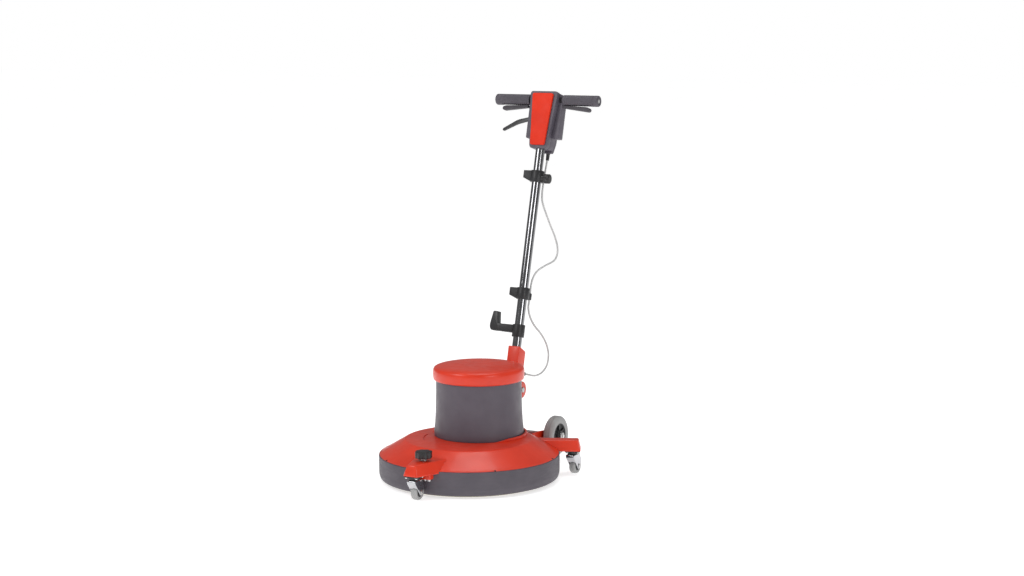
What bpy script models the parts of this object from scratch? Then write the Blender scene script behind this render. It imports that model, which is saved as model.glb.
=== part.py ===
"""Rotary floor machine: a belt-driven single-disc polisher with a tilting handle.

Metres, +Z up. The pad's floor face is centred on the origin. The operator stands on the +Y side,
the front castor is on the -Y side and +X is on the operator's left.
"""

import math

import bmesh
import bpy
from mathutils import Matrix, Vector

GAP = 0.0003                      # clearance between touching pieces

# Facets round each family of round pieces; pieces that nest share a count
DECK_STEPS = 36
TOWER_STEPS = 32
WHEEL_STEPS = 20
DRIVE_STEPS = 16
STEM_STEPS = 16
SMALL_STEPS = 12

# Deck and bumper
DECK_TOP = 0.130
DECK_SHEET = 0.004
PLATEAU_R = 0.1950
RIM_R = 0.2775
RIM_Z = 0.0830
SKIRT_R = 0.2605
BUMPER_R = 0.2800

# Motor tower
TOWER_Y = 0.062
SHROUD_R = 0.1335
SHROUD_TOP = 0.330
COLLAR_TOP = 0.1385
COLLAR_OPEN_AT = -101.0           # middle of the collar's open front, degrees about the tower axis
MOTOR_Y = 0.104

# Castor arms and castors. An arm's sections are (bottom end, top end, half width below, half width above),
# measured outwards from its castor's swivel axis
ARM_BOTTOM = 0.0770
ARM_TOP = 0.1115
FRONT_SECTIONS = [(-0.1150, -0.1150, 0.0750, 0.0550), (-0.0495, -0.0495, 0.0550, 0.0350),
                  (0.0260, 0.0180, 0.0235, 0.0140)]
LEFT_SECTIONS = [(-0.1150, -0.1150, 0.0300, 0.0200), (0.0260, 0.0180, 0.0300, 0.0200)]
SWIVELS = {"front": (0.0, -0.3270), "left": (0.2550, 0.2050)}
ARM_ANGLES = {"front": -90.0, "left": 25.0}
BRACKET_BOLTS = [(x, -0.2885) for x in (-0.0275, -0.0130, 0.0130, 0.0275)]
KNOB_Y = -0.2730
PLATE_HALF = 0.0240
PLATE_BOLT = 0.0170
CASTOR_R = 0.0245
CASTOR_TRAIL = 0.0165
FORK_HALF = 0.0145

# Transport wheels
AXLE_Y, AXLE_Z = 0.324, 0.0885
TYRE_R = 0.0635
TYRE_X = 0.133

# Handle: the stem leans back about the pivot pin
LEAN = math.radians(15.0)
STEM_FOOT = Vector((0.0, 0.272, 0.233))
PIVOT_Y, PIVOT_Z = 0.298, 0.232
TUBE_R = 0.0150
GRIP_S, GRIP_N = 0.950, 0.009
CLAMP_SCREW_S = 0.690
HOOK_S = 0.192
ROD_N, ROD_FOOT = 0.007, 0.056
TRIGGER_AXIS = (0.0660, GRIP_N, GRIP_S - 0.0220)
LEVER_AXIS = (-0.0500, 0.0130, 0.8860)
CABLE_R = 0.0031

PAINTS = {
    "red_paint": ((0.62, 0.035, 0.020), 0.0, 0.32),
    "dark_plastic": ((0.055, 0.050, 0.060), 0.0, 0.45),
    "black_plastic": ((0.012, 0.012, 0.013), 0.0, 0.45),
    "bumper_rubber": ((0.050, 0.046, 0.052), 0.0, 0.60),
    "chrome": ((0.75, 0.76, 0.78), 1.0, 0.12),
    "steel": ((0.50, 0.50, 0.52), 1.0, 0.35),
    "aluminium": ((0.62, 0.63, 0.65), 1.0, 0.40),
    "cast_iron": ((0.16, 0.16, 0.17), 0.8, 0.60),
    "copper": ((0.60, 0.24, 0.12), 1.0, 0.35),
    "grey_tyre": ((0.36, 0.36, 0.37), 0.0, 0.65),
    "grey_cable": ((0.50, 0.50, 0.51), 0.0, 0.50),
    "belt_rubber": ((0.015, 0.015, 0.015), 0.0, 0.75),
    "pad_fibre": ((0.55, 0.50, 0.42), 0.0, 0.95),
    "grey_plastic": ((0.40, 0.40, 0.42), 0.0, 0.45),
}


def clear_scene():
    for obj in list(bpy.data.objects):
        bpy.data.objects.remove(obj, do_unlink=True)


def paint(name):
    found = bpy.data.materials.get(name)
    if found:
        return found
    colour, metallic, roughness = PAINTS[name]
    material = bpy.data.materials.new(name)
    material.use_nodes = True
    shader = material.node_tree.nodes["Principled BSDF"]
    shader.inputs["Base Color"].default_value = (*colour, 1.0)
    shader.inputs["Metallic"].default_value = metallic
    shader.inputs["Roughness"].default_value = roughness
    return material


def solid(name, bm, material, smooth=True):
    """Turn a bmesh into a named object with outward faces; round pieces are shaded smooth."""
    bmesh.ops.recalc_face_normals(bm, faces=bm.faces)
    mesh = bpy.data.meshes.new(name)
    bm.to_mesh(mesh)
    bm.free()
    for face in mesh.polygons:
        face.use_smooth = smooth
    if smooth:
        mesh.set_sharp_from_angle(angle=math.radians(35.0))
    mesh.materials.append(paint(material))
    obj = bpy.data.objects.new(name, mesh)
    bpy.context.scene.collection.objects.link(obj)
    return obj


def cutter(name, bm):
    obj = solid(name, bm, "steel", smooth=False)
    obj.hide_render = True
    obj.display_type = "WIRE"
    return obj


def combine(obj, other, operation):
    modifier = obj.modifiers.new(operation.lower(), "BOOLEAN")
    modifier.operation = operation
    modifier.solver = "EXACT"
    modifier.object = other


def soften(obj, width, segments=2, angle=35.0):
    modifier = obj.modifiers.new("bevel", "BEVEL")
    modifier.width = width
    modifier.segments = segments
    modifier.limit_method = "ANGLE"
    modifier.angle_limit = math.radians(angle)
    modifier.use_clamp_overlap = True


def lathe(profile, steps, matrix=None):
    """A closed (radius, height) outline turned about Z. Outline points at radius 0 become poles."""
    bm = bmesh.new()
    rings = []
    for radius, height in profile:
        if radius < 1e-9:
            rings.append([bm.verts.new((0.0, 0.0, height))])
            continue
        rings.append([
            bm.verts.new((radius * math.cos(math.tau * i / steps),
                          radius * math.sin(math.tau * i / steps), height))
            for i in range(steps)
        ])
    for here, after in zip(rings, rings[1:] + rings[:1]):
        if len(here) == 1 and len(after) == 1:
            continue
        for i in range(steps):
            j = (i + 1) % steps
            if len(here) == 1:
                bm.faces.new((here[0], after[i], after[j]))
            elif len(after) == 1:
                bm.faces.new((here[i], after[0], here[j]))
            else:
                bm.faces.new((here[i], after[i], after[j], here[j]))
    if matrix:
        bm.transform(matrix)
    return bm


def prism(outline, low, high, axis="Z", matrix=None):
    """An outline extruded along an axis. Outline coordinates are the other two axes, in order."""
    bm = bmesh.new()

    def place(a, b, c):
        return {"X": (c, a, b), "Y": (a, c, b), "Z": (a, b, c)}[axis]

    ends = [[bm.verts.new(place(a, b, level)) for a, b in outline] for level in (low, high)]
    bm.faces.new(ends[0])
    bm.faces.new(list(reversed(ends[1])))
    count = len(outline)
    for i in range(count):
        j = (i + 1) % count
        bm.faces.new((ends[0][j], ends[0][i], ends[1][i], ends[1][j]))
    if matrix:
        bm.transform(matrix)
    return bm


def block(x0, x1, y0, y1, z0, z1, matrix=None):
    return prism([(x0, y0), (x1, y0), (x1, y1), (x0, y1)], z0, z1, "Z", matrix)


def rod(start, end, radius, steps=16):
    start, end = Vector(start), Vector(end)
    length = (end - start).length
    turn = Vector((0, 0, 1)).rotation_difference(end - start).to_matrix().to_4x4()
    outline = [(0.0, 0.0), (radius, 0.0), (radius, length), (0.0, length)]
    return lathe(outline, steps, Matrix.Translation(start) @ turn)


def join(*meshes):
    """Several closed bodies in one mesh, for cutters and added bolts."""
    whole = bmesh.new()
    for bm in meshes:
        scratch = bpy.data.meshes.new("scratch")
        bm.to_mesh(scratch)
        bm.free()
        whole.from_mesh(scratch)
        bpy.data.meshes.remove(scratch)
    return whole


def arc(centre_a, centre_b, radius, start, end, count):
    """Points of an arc, angles in degrees."""
    return [
        (centre_a + radius * math.cos(math.radians(start + (end - start) * i / count)),
         centre_b + radius * math.sin(math.radians(start + (end - start) * i / count)))
        for i in range(count + 1)
    ]


def at(x, y, z=0.0):
    return Matrix.Translation((x, y, z))


ALONG_X = Matrix.Rotation(math.radians(90.0), 4, "Y")     # turns a lathe axis from Z to X
STEM = Matrix.Translation(STEM_FOOT) @ Matrix.Rotation(-LEAN, 4, "X")


# ---------------------------------------------------------------- deck, bumper and arms

def deck_outline(grow):
    """Outer (radius, height) line of deck and bumper together, grown by a clearance."""
    return [
        (0.0, DECK_TOP + grow), (PLATEAU_R + grow, DECK_TOP + grow), (0.1990 + grow, 0.1290 + grow),
        (0.2735 + grow, 0.0852 + grow), (RIM_R + grow, 0.0836 + grow), (BUMPER_R + grow, 0.0815 + grow),
        (BUMPER_R + grow, 0.0), (0.0, 0.0),
    ]


def make_deck():
    profile = [
        (0.0260, DECK_TOP), (PLATEAU_R, DECK_TOP), (0.1990, 0.1290), (0.2735, 0.0852), (RIM_R, 0.0836),
        (RIM_R, RIM_Z), (SKIRT_R, RIM_Z), (SKIRT_R, 0.030), (0.2570, 0.030), (0.2570, 0.0900),
        (0.1985, 0.1235), (0.1930, DECK_TOP - DECK_SHEET), (0.0260, DECK_TOP - DECK_SHEET),
    ]
    deck = solid("deck_housing", lathe(profile, DECK_STEPS), "red_paint")
    shaft_hole = cutter("cut_motor_shaft", rod((0, MOTOR_Y, 0.11), (0, MOTOR_Y, 0.137), 0.022, 25))
    combine(deck, shaft_hole, "DIFFERENCE")
    collar = [(0.1430, 0.1180), (0.1485, 0.1180), (0.1500, 0.1200), (0.1500, 0.1370),
              (0.1485, COLLAR_TOP), (0.1430, COLLAR_TOP)]
    half_step = Matrix.Rotation(math.pi / DECK_STEPS, 4, "Z")
    raised = cutter("add_tower_collar", lathe(collar, DECK_STEPS, at(0, TOWER_Y) @ half_step))
    ramp = [(0.0200, COLLAR_TOP + 0.0005), (0.0800, 0.1292), (0.2000, 0.1160), (0.2000, 0.1500),
            (0.0200, 0.1500)]
    open_side = at(0, TOWER_Y) @ Matrix.Rotation(math.radians(COLLAR_OPEN_AT), 4, "Z")
    combine(raised, cutter("cut_collar_front", prism(ramp, -0.2000, 0.2000, "Y", open_side)), "DIFFERENCE")
    combine(deck, raised, "UNION")

    ring = [
        (SKIRT_R + GAP, RIM_Z - GAP), (0.2770, RIM_Z - GAP), (0.2790, 0.0818), (BUMPER_R, 0.0795),
        (BUMPER_R, 0.0250), (0.2785, 0.0170), (0.2745, 0.0110), (0.2690, 0.0080), (0.2640, 0.0080),
        (SKIRT_R + GAP, 0.0110),
    ]
    solid("bumper_ring", lathe(ring, DECK_STEPS), "bumper_rubber")


def arm_body(sections, matrix):
    """A castor arm lofted along +X through its trapezium sections."""
    bm = bmesh.new()
    rings = []
    for x_low, x_high, half_low, half_high in sections:
        rings.append([
            bm.verts.new((x_low, -half_low, ARM_BOTTOM)),
            bm.verts.new((x_low, half_low, ARM_BOTTOM)),
            bm.verts.new((x_high, half_high, ARM_TOP)),
            bm.verts.new((x_high, -half_high, ARM_TOP)),
        ])
    bm.faces.new(rings[0])
    bm.faces.new(list(reversed(rings[-1])))
    for here, after in zip(rings, rings[1:]):
        for i in range(4):
            j = (i + 1) % 4
            bm.faces.new((here[j], here[i], after[i], after[j]))
    bmesh.ops.triangulate(bm, faces=bm.faces)
    bm.transform(matrix)
    return bm


def stud_holes(name, spots, radius, low, high):
    return cutter(name, join(*[rod((x, y, low), (x, y, high), radius, 8) for x, y in spots]))


def arm_frame(side):
    """Frame on a castor's swivel axis with +X out along its arm."""
    return at(*SWIVELS[side]) @ Matrix.Rotation(math.radians(ARM_ANGLES[side]), 4, "Z")


def plate_corners(side):
    """Centres of the four plate bolts of a castor."""
    corners = [Vector((sx * PLATE_BOLT, sy * PLATE_BOLT, 0)) for sx in (-1, 1) for sy in (-1, 1)]
    return [tuple((arm_frame(side) @ corner)[:2]) for corner in corners]


def make_arms():
    envelope = cutter("cut_deck_envelope", lathe(deck_outline(GAP), DECK_STEPS))
    for side in SWIVELS:
        sections = FRONT_SECTIONS if side == "front" else LEFT_SECTIONS
        arm = solid(f"{side}_arm", arm_body(sections, arm_frame(side)), "red_paint", smooth=False)
        soften(arm, 0.0030, 1)
        combine(arm, envelope, "DIFFERENCE")
        plate_holes = stud_holes(f"cut_{side}_arm_bolts", plate_corners(side), 0.0028, 0.070, 0.089)
        combine(arm, plate_holes, "DIFFERENCE")
    front = bpy.data.objects["front_arm"]
    knob_hole = rod((0, KNOB_Y, ARM_TOP - 0.0160), (0, KNOB_Y, ARM_TOP + 0.0140), 0.0053, 16)
    combine(front, cutter("cut_knob_screw", knob_hole), "DIFFERENCE")
    combine(front, stud_holes("cut_bracket_bolts", BRACKET_BOLTS, 0.0028, 0.070, 0.089), "DIFFERENCE")


def make_front_bracket():
    """Angle bracket under the front arm, held by four upright bolts."""
    plate = block(-0.036, 0.036, -0.2965, -0.2700, 0.0600, ARM_BOTTOM - GAP)
    bracket = solid("front_arm_bracket", plate, "red_paint", smooth=False)
    soften(bracket, 0.002, 1)
    combine(bracket, bpy.data.objects["cut_deck_envelope"], "DIFFERENCE")
    bolt = [(0.0, 0.0535), (0.0046, 0.0535), (0.0050, 0.0550), (0.0050, 0.0605), (0.0025, 0.0605),
            (0.0025, 0.0855), (0.0, 0.0855)]
    bolts = [lathe(bolt, 6, at(x, y)) for x, y in BRACKET_BOLTS]
    combine(bracket, cutter("add_bracket_bolts", join(*bolts)), "UNION")


def make_height_knob():
    lobes = 8
    outline = []
    for i in range(lobes * 4):
        angle = math.tau * i / (lobes * 4)
        radius = 0.0258 if i % 4 in (0, 1) else 0.0238
        outline.append((radius * math.cos(angle), KNOB_Y + radius * math.sin(angle)))
    grip = prism(outline, ARM_TOP + 0.0080, ARM_TOP + 0.0290)
    knob = solid("height_knob", grip, "black_plastic", smooth=False)
    soften(knob, 0.0020, 1, 50.0)
    screw = [(0.0, ARM_TOP - 0.0135), (0.0050, ARM_TOP - 0.0135), (0.0050, ARM_TOP + GAP),
             (0.0100, ARM_TOP + GAP), (0.0100, ARM_TOP + 0.0100), (0.0, ARM_TOP + 0.0100)]
    combine(knob, cutter("add_knob_screw", lathe(screw, 16, at(0, KNOB_Y))), "UNION")


def make_castor_plate(side):
    """Fixed top plate with its swivel cup and its four bolts."""
    top = ARM_BOTTOM - GAP
    sheet = block(-PLATE_HALF, PLATE_HALF, -PLATE_HALF, PLATE_HALF, top - 0.0030, top, arm_frame(side))
    plate = solid(f"castor_{side}_plate", sheet, "black_plastic", smooth=False)
    cup = [(0.0, top - 0.0050), (0.0063, top - 0.0050), (0.0063, top - 0.0125), (0.0150, top - 0.0125),
           (0.0185, top - 0.0100), (0.0185, top - 0.0020), (0.0, top - 0.0020)]
    combine(plate, cutter(f"add_{side}_cup", lathe(cup, DRIVE_STEPS, at(*SWIVELS[side]))), "UNION")
    bolt = [(0.0, top - 0.0070), (0.0042, top - 0.0070), (0.0042, top - 0.0025), (0.0025, top - 0.0025),
            (0.0025, top + 0.0090), (0.0, top + 0.0090)]
    bolts = [lathe(bolt, 6, at(x, y)) for x, y in plate_corners(side)]
    combine(plate, cutter(f"add_{side}_bolts", join(*bolts)), "UNION")


def make_castor(side):
    """Swivelling hooded fork with its riveted axle, and the wheel that turns on it, trailing rearwards."""
    base = at(*SWIVELS[side])
    crown = ARM_BOTTOM - GAP - 0.0130
    leg = [(-0.0190, crown), (-0.0200, crown - 0.0030), (-0.0190, crown - 0.0090), (-0.0080, 0.0400)]
    leg += arc(CASTOR_TRAIL, CASTOR_R, 0.0100, 200.0, 350.0, 5)
    leg += [(0.0320, 0.0360), (0.0330, 0.0440), (0.0250, crown - 0.0060), (0.0210, crown)]
    fork = solid(f"castor_{side}_fork", prism(leg, -FORK_HALF, FORK_HALF, "X", base), "chrome")
    inside = FORK_HALF - 0.0025
    wheel_room = arc(CASTOR_TRAIL, CASTOR_R, 0.0262, 0.0, 180.0, 9)
    wheel_room += [(CASTOR_TRAIL - 0.0262, 0.0), (CASTOR_TRAIL + 0.0262, 0.0)]
    room = prism(wheel_room, -inside, inside, "X", base)
    combine(fork, cutter(f"cut_{side}_fork", room), "DIFFERENCE")
    stud = rod((0, 0, crown - 0.0030), (0, 0, crown + 0.0075), 0.0060, 16)
    stud.transform(base)
    combine(fork, cutter(f"add_{side}_stud", stud), "UNION")
    spin = base @ at(0, CASTOR_TRAIL, CASTOR_R) @ ALONG_X
    axle = [(0.0, -0.0165), (0.0055, -0.0165), (0.0055, -0.0140), (0.0030, -0.0140), (0.0030, 0.0140),
            (0.0055, 0.0140), (0.0055, 0.0165), (0.0, 0.0165)]
    combine(fork, cutter(f"add_{side}_axle", lathe(axle, SMALL_STEPS, spin)), "UNION")

    wheel = [(0.0034, -0.0112), (0.0100, -0.0112), (0.0222, -0.0097), (CASTOR_R, -0.0060),
             (CASTOR_R, 0.0060), (0.0222, 0.0097), (0.0100, 0.0112), (0.0034, 0.0112)]
    solid(f"castor_{side}_wheel", lathe(wheel, WHEEL_STEPS, spin), "grey_tyre")


def make_transport_wheels():
    outline = [(0.2150, 0.1120), (0.2620, 0.1120), (0.3360, 0.1040)]
    outline += arc(AXLE_Y, AXLE_Z, 0.0180, 40.0, -90.0, 6)
    outline += [(0.2900, 0.0700), (0.2700, 0.0560), (0.2150, 0.0560)]
    axle_room = rod((-0.12, AXLE_Y, AXLE_Z), (0.12, AXLE_Y, AXLE_Z), 0.0083, WHEEL_STEPS)
    hole = cutter("cut_axle_holes", axle_room)
    for low, name in ((0.1040, "left"), (-0.1100, "right")):
        sheet = prism(outline, low, low + 0.0060, "X")
        plate = solid(f"wheel_bracket_{name}", sheet, "red_paint", smooth=False)
        combine(plate, bpy.data.objects["cut_deck_envelope"], "DIFFERENCE")
        combine(plate, hole, "DIFFERENCE")
    for side, name in ((1, "left"), (-1, "right")):
        middle = at(side * TYRE_X, AXLE_Y, AXLE_Z) @ ALONG_X
        tyre = [(0.0400, -0.0150), (0.0560, -0.0165), (TYRE_R, -0.0080), (TYRE_R, 0.0080),
                (0.0560, 0.0165), (0.0400, 0.0150)]
        solid(f"transport_tyre_{name}", lathe(tyre, WHEEL_STEPS, middle), "grey_tyre")
        hub = [(0.0083, -0.0185), (0.0170, -0.0185), (0.0190, -0.0080), (0.0350, -0.0080), (0.0397, -0.0150),
               (0.0397, 0.0150), (0.0350, 0.0080), (0.0190, 0.0080), (0.0170, 0.0185), (0.0083, 0.0185)]
        solid(f"transport_hub_{name}", lathe(hub, WHEEL_STEPS, middle), "black_plastic")
    axle = [(0.0, -0.1620), (0.0110, -0.1605), (0.0120, -0.1520), (0.0080, -0.1520),
            (0.0080, 0.1520), (0.0120, 0.1520), (0.0110, 0.1605), (0.0, 0.1620)]
    solid("transport_axle", lathe(axle, WHEEL_STEPS, at(0, AXLE_Y, AXLE_Z) @ ALONG_X), "steel")


# ---------------------------------------------------------------- tower, motor and drive

def make_tower():
    shroud = [
        (0.1300, DECK_TOP + GAP), (0.1400, DECK_TOP + GAP), (0.1398, 0.1430), (0.1385, 0.1550),
        (0.1355, 0.1900), (SHROUD_R, 0.2500), (SHROUD_R, SHROUD_TOP),
        (0.1305, SHROUD_TOP), (0.1305, 0.2000), (0.1300, 0.1600),
    ]
    tower = solid("motor_shroud", lathe(shroud, TOWER_STEPS, at(0, TOWER_Y)), "dark_plastic")

    lid = [
        (0.0, 0.3525), (0.0700, 0.3518), (0.1200, 0.3488), (0.1360, 0.3445), (0.1412, 0.3380),
        (0.1428, 0.3250), (0.1415, 0.3090), (0.1395, 0.3055), (SHROUD_R + GAP, 0.3055),
        (SHROUD_R + GAP, SHROUD_TOP + GAP), (0.1290, SHROUD_TOP + GAP), (0.1200, 0.3440), (0.0, 0.3490),
    ]
    solid("motor_lid", lathe(lid, TOWER_STEPS, at(0, TOWER_Y)), "red_paint")
    return tower


def make_bracket(tower):
    """Fixed handle bracket: a foot bolted to the tower and two cheeks round the stem tongue."""
    bulk = block(-0.042, 0.042, 0.170, 0.2140, 0.205, 0.285)
    foot = solid("handle_bracket", bulk, "red_paint", smooth=False)
    soften(foot, 0.0025, 1)
    tower_bulk = rod((0, TOWER_Y, 0.15), (0, TOWER_Y, 0.30), SHROUD_R + 0.0019, TOWER_STEPS)
    combine(foot, cutter("cut_bracket_seat", tower_bulk), "DIFFERENCE")
    outline = [(0.2100, 0.2740), (0.2100, 0.2120)]
    outline += arc(PIVOT_Y, PIVOT_Z, 0.0270, -95.0, 80.0, 8)
    for name, low, high in (("left", 0.0123, 0.0260), ("right", -0.0260, -0.0123)):
        combine(foot, cutter(f"add_cheek_{name}", prism(outline, low, high, "X")), "UNION")
    pin_hole = cutter("cut_pivot", rod((-0.04, PIVOT_Y, PIVOT_Z), (0.04, PIVOT_Y, PIVOT_Z), 0.0063, 16))
    combine(foot, pin_hole, "DIFFERENCE")
    spots = [(x, z) for x in (-0.034, 0.034) for z in (0.222, 0.268)]
    holes = join(*[rod((x, 0.15, z), (x, 0.23, z), 0.0034, 8) for x, z in spots])
    combine(tower, cutter("cut_foot_bolts", holes), "DIFFERENCE")
    bolts = []
    turn = Matrix.Rotation(math.radians(90.0), 4, "X")
    for x, z in spots:
        bolt = [(0.0, -0.0050), (0.0055, -0.0050), (0.0055, 0.0010), (0.0031, 0.0010), (0.0031, 0.0320),
                (0.0, 0.0320)]
        bolts.append(lathe(bolt, 6, at(x, 0.2140, z) @ turn))
    combine(foot, cutter("add_foot_bolts", join(*bolts)), "UNION")
    pin = [(0.0, -0.0300), (0.0085, -0.0300), (0.0085, -0.0263), (0.0060, -0.0263), (0.0060, 0.0263),
           (0.0085, 0.0263), (0.0085, 0.0300), (0.0, 0.0300)]
    solid("pivot_pin", lathe(pin, 16, at(0, PIVOT_Y, PIVOT_Z) @ ALONG_X), "steel")


def make_motor():
    case = [(0.0200, 0.1303), (0.0600, 0.1303), (0.0600, 0.3000), (0.0150, 0.3000), (0.0150, 0.2960),
            (0.0560, 0.2960), (0.0560, 0.1345), (0.0200, 0.1345)]
    solid("motor_case", lathe(case, DRIVE_STEPS, at(0, MOTOR_Y)), "aluminium")
    stator = [(0.0353, 0.1567), (0.0530, 0.1567), (0.0530, 0.1750), (0.0555, 0.1752),
              (0.0555, 0.2548), (0.0530, 0.2550), (0.0530, 0.2733), (0.0353, 0.2733)]
    solid("stator", lathe(stator, DRIVE_STEPS, at(0, MOTOR_Y)), "copper")
    rotor = [(0.0, 0.0840), (0.0080, 0.0840), (0.0080, 0.1700), (0.0340, 0.1752), (0.0340, 0.2548),
             (0.0080, 0.2600), (0.0080, 0.3200), (0.0, 0.3200)]
    solid("motor_rotor", lathe(rotor, DRIVE_STEPS, at(0, MOTOR_Y)), "steel")
    hub = [(0.0083, 0.3040), (0.0140, 0.3040), (0.0140, 0.3190), (0.0083, 0.3190)]
    fan = solid("cooling_fan", lathe(hub, DRIVE_STEPS, at(0, MOTOR_Y)), "black_plastic", smooth=False)
    blades = []
    for i in range(9):
        turn = at(0, MOTOR_Y) @ Matrix.Rotation(math.tau * i / 9, 4, "Z")
        blades.append(block(0.0120, 0.0560, -0.0010, 0.0010, 0.3050, 0.3180, turn))
    combine(fan, cutter("add_fan_blades", join(*blades)), "UNION")


def pulley(radius, low, high, bore):
    lip, rim = 0.0030, 0.0020
    return [(bore, low), (radius + lip, low), (radius + lip, low + rim), (radius, low + rim + 0.001),
            (radius, high - rim - 0.001), (radius + lip, high - rim), (radius + lip, high), (bore, high)]


def belt_loop(r_small, r_big, extra):
    """Belt line round the motor pulley and the spindle pulley, moved outward by extra."""
    small, big = r_small + extra, r_big + extra
    lean = math.degrees(math.asin((big - small) / MOTOR_Y))
    points = arc(0.0, MOTOR_Y, small, lean, 180.0 - lean, 9)
    points += arc(0.0, 0.0, big, 180.0 - lean, 360.0 + lean, 13)
    return points


def make_drive():
    housing = [(0.0223, 0.1303), (0.0360, 0.1303), (0.0360, 0.1350), (0.0320, 0.1370), (0.0320, 0.1900),
               (0.0150, 0.1900), (0.0150, 0.1860), (0.0223, 0.1860)]
    solid("bearing_housing", lathe(housing, DRIVE_STEPS), "cast_iron")
    for name, bore, ring_r, low, y in (
        ("spindle_bearing_lower", 0.0123, 0.0220, 0.1320, 0.0),
        ("spindle_bearing_upper", 0.0123, 0.0220, 0.1735, 0.0),
        ("motor_bearing_lower", 0.0083, 0.0197, 0.1350, MOTOR_Y),
        ("motor_bearing_upper", 0.0083, 0.0197, 0.2845, MOTOR_Y),
    ):
        ring = [(bore, low), (ring_r, low), (ring_r, low + 0.0110), (bore, low + 0.0110)]
        solid(name, lathe(ring, DRIVE_STEPS, at(0, y)), "steel")
    shaft = [(0.0, 0.0480), (0.0180, 0.0480), (0.0180, 0.0560), (0.0120, 0.0570), (0.0120, 0.1880),
             (0.0, 0.1880)]
    solid("spindle_shaft", lathe(shaft, DRIVE_STEPS), "steel")
    solid("spindle_pulley", lathe(pulley(0.052, 0.0860, 0.1080, 0.0123), DRIVE_STEPS), "cast_iron")
    small_pulley = pulley(0.030, 0.0860, 0.1080, 0.0083)
    solid("motor_pulley", lathe(small_pulley, DRIVE_STEPS, at(0, MOTOR_Y)), "aluminium")
    outer = belt_loop(0.030, 0.052, 0.0038)
    inner = belt_loop(0.030, 0.052, 0.0008)
    bm = bmesh.new()
    loops = [[bm.verts.new((x, y, z)) for x, y in line] for line in (outer, inner) for z in (0.0895, 0.1045)]
    low_out, high_out, low_in, high_in = loops
    count = len(outer)
    for i in range(count):
        j = (i + 1) % count
        bm.faces.new((low_out[i], low_out[j], high_out[j], high_out[i]))
        bm.faces.new((low_in[j], low_in[i], high_in[i], high_in[j]))
        bm.faces.new((high_out[i], high_out[j], high_in[j], high_in[i]))
        bm.faces.new((low_out[j], low_out[i], low_in[i], low_in[j]))
    solid("drive_belt", bm, "belt_rubber")
    driver = [(0.0, 0.0245), (0.2400, 0.0245), (0.2400, 0.0320), (0.0500, 0.0360), (0.0400, 0.0470),
              (0.0, 0.0477)]
    solid("pad_driver", lathe(driver, DECK_STEPS), "grey_plastic")
    pad = [(0.0, 0.0), (0.2450, 0.0), (0.2490, 0.0060), (0.2490, 0.0182), (0.2450, 0.0242), (0.0, 0.0242)]
    solid("polishing_pad", lathe(pad, DECK_STEPS), "pad_fibre")


# ---------------------------------------------------------------- handle, in stem coordinates
# x across, n out of the stem towards the operator, s up along the stem.

def in_stem(bm):
    bm.transform(STEM)
    return bm


def stem_bore(name, low, high, radius=TUBE_R + GAP, steps=STEM_STEPS):
    return cutter(name, in_stem(rod((0, 0, low), (0, 0, high), radius, steps)))


def make_stem():
    pivot = STEM.inverted() @ Vector((0, PIVOT_Y, PIVOT_Z))
    shape = [(-0.018, 0.046), (0.028, 0.046), (0.028, 0.129), (-0.018, 0.142)]
    socket = solid("stem_socket", in_stem(prism(shape, -0.020, 0.020, "X")), "red_paint", smooth=False)
    soften(socket, 0.0030, 1)
    tongue = arc(pivot.y, pivot.z, 0.0200, 180.0, 360.0, 8) + [(0.0272, 0.060), (-0.004, 0.060)]
    combine(socket, cutter("add_tongue", in_stem(prism(tongue, -0.0120, 0.0120, "X"))), "UNION")
    combine(socket, stem_bore("cut_socket_bore", 0.075, 0.160), "DIFFERENCE")
    hole = rod((-0.03, PIVOT_Y, PIVOT_Z), (0.03, PIVOT_Y, PIVOT_Z), 0.0063, 16)
    combine(socket, cutter("cut_tongue_pin", hole), "DIFFERENCE")
    rod_hole = in_stem(rod((0, ROD_N, 0.052), (0, ROD_N, 0.080), 0.0036, SMALL_STEPS))
    combine(socket, cutter("cut_rod_hole", rod_hole), "DIFFERENCE")
    gland = [(0.0, 0.0100), (0.0065, 0.0100), (0.0065, 0.0330), (0.0040, 0.0330), (0.0040, 0.0245),
             (0.0, 0.0245)]
    gland_body = in_stem(lathe(gland, SMALL_STEPS, at(0, 0.020, 0.057) @ ALONG_X))
    combine(socket, cutter("add_socket_gland", gland_body), "UNION")

    tube = [(0.0130, 0.0755), (TUBE_R, 0.0755), (TUBE_R, 0.8400), (0.0130, 0.8400)]
    solid("stem_tube", in_stem(lathe(tube, STEM_STEPS)), "chrome")
    solid("lock_rod", in_stem(rod((0, ROD_N, ROD_FOOT), (0, ROD_N, 0.8640), 0.0030, 8)), "steel")


def clamp_body(name, centre, collar_r, half, reach, taper):
    """Collar round the tube with a tapered block on its right-hand side."""
    ring = rod((0, 0, centre - half), (0, 0, centre + half), collar_r, STEM_STEPS)
    collar = solid(name, in_stem(ring), "black_plastic")
    low, high = centre - half + 0.001, centre + half - 0.001
    outline = [(-reach, high), (-0.006, high), (-0.006, low), (-0.0170, low), (-reach, low + taper)]
    jaw = cutter(f"add_{name}_jaw", in_stem(prism(outline, -0.015, 0.015, "Y")))
    combine(collar, jaw, "UNION")
    return collar


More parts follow.
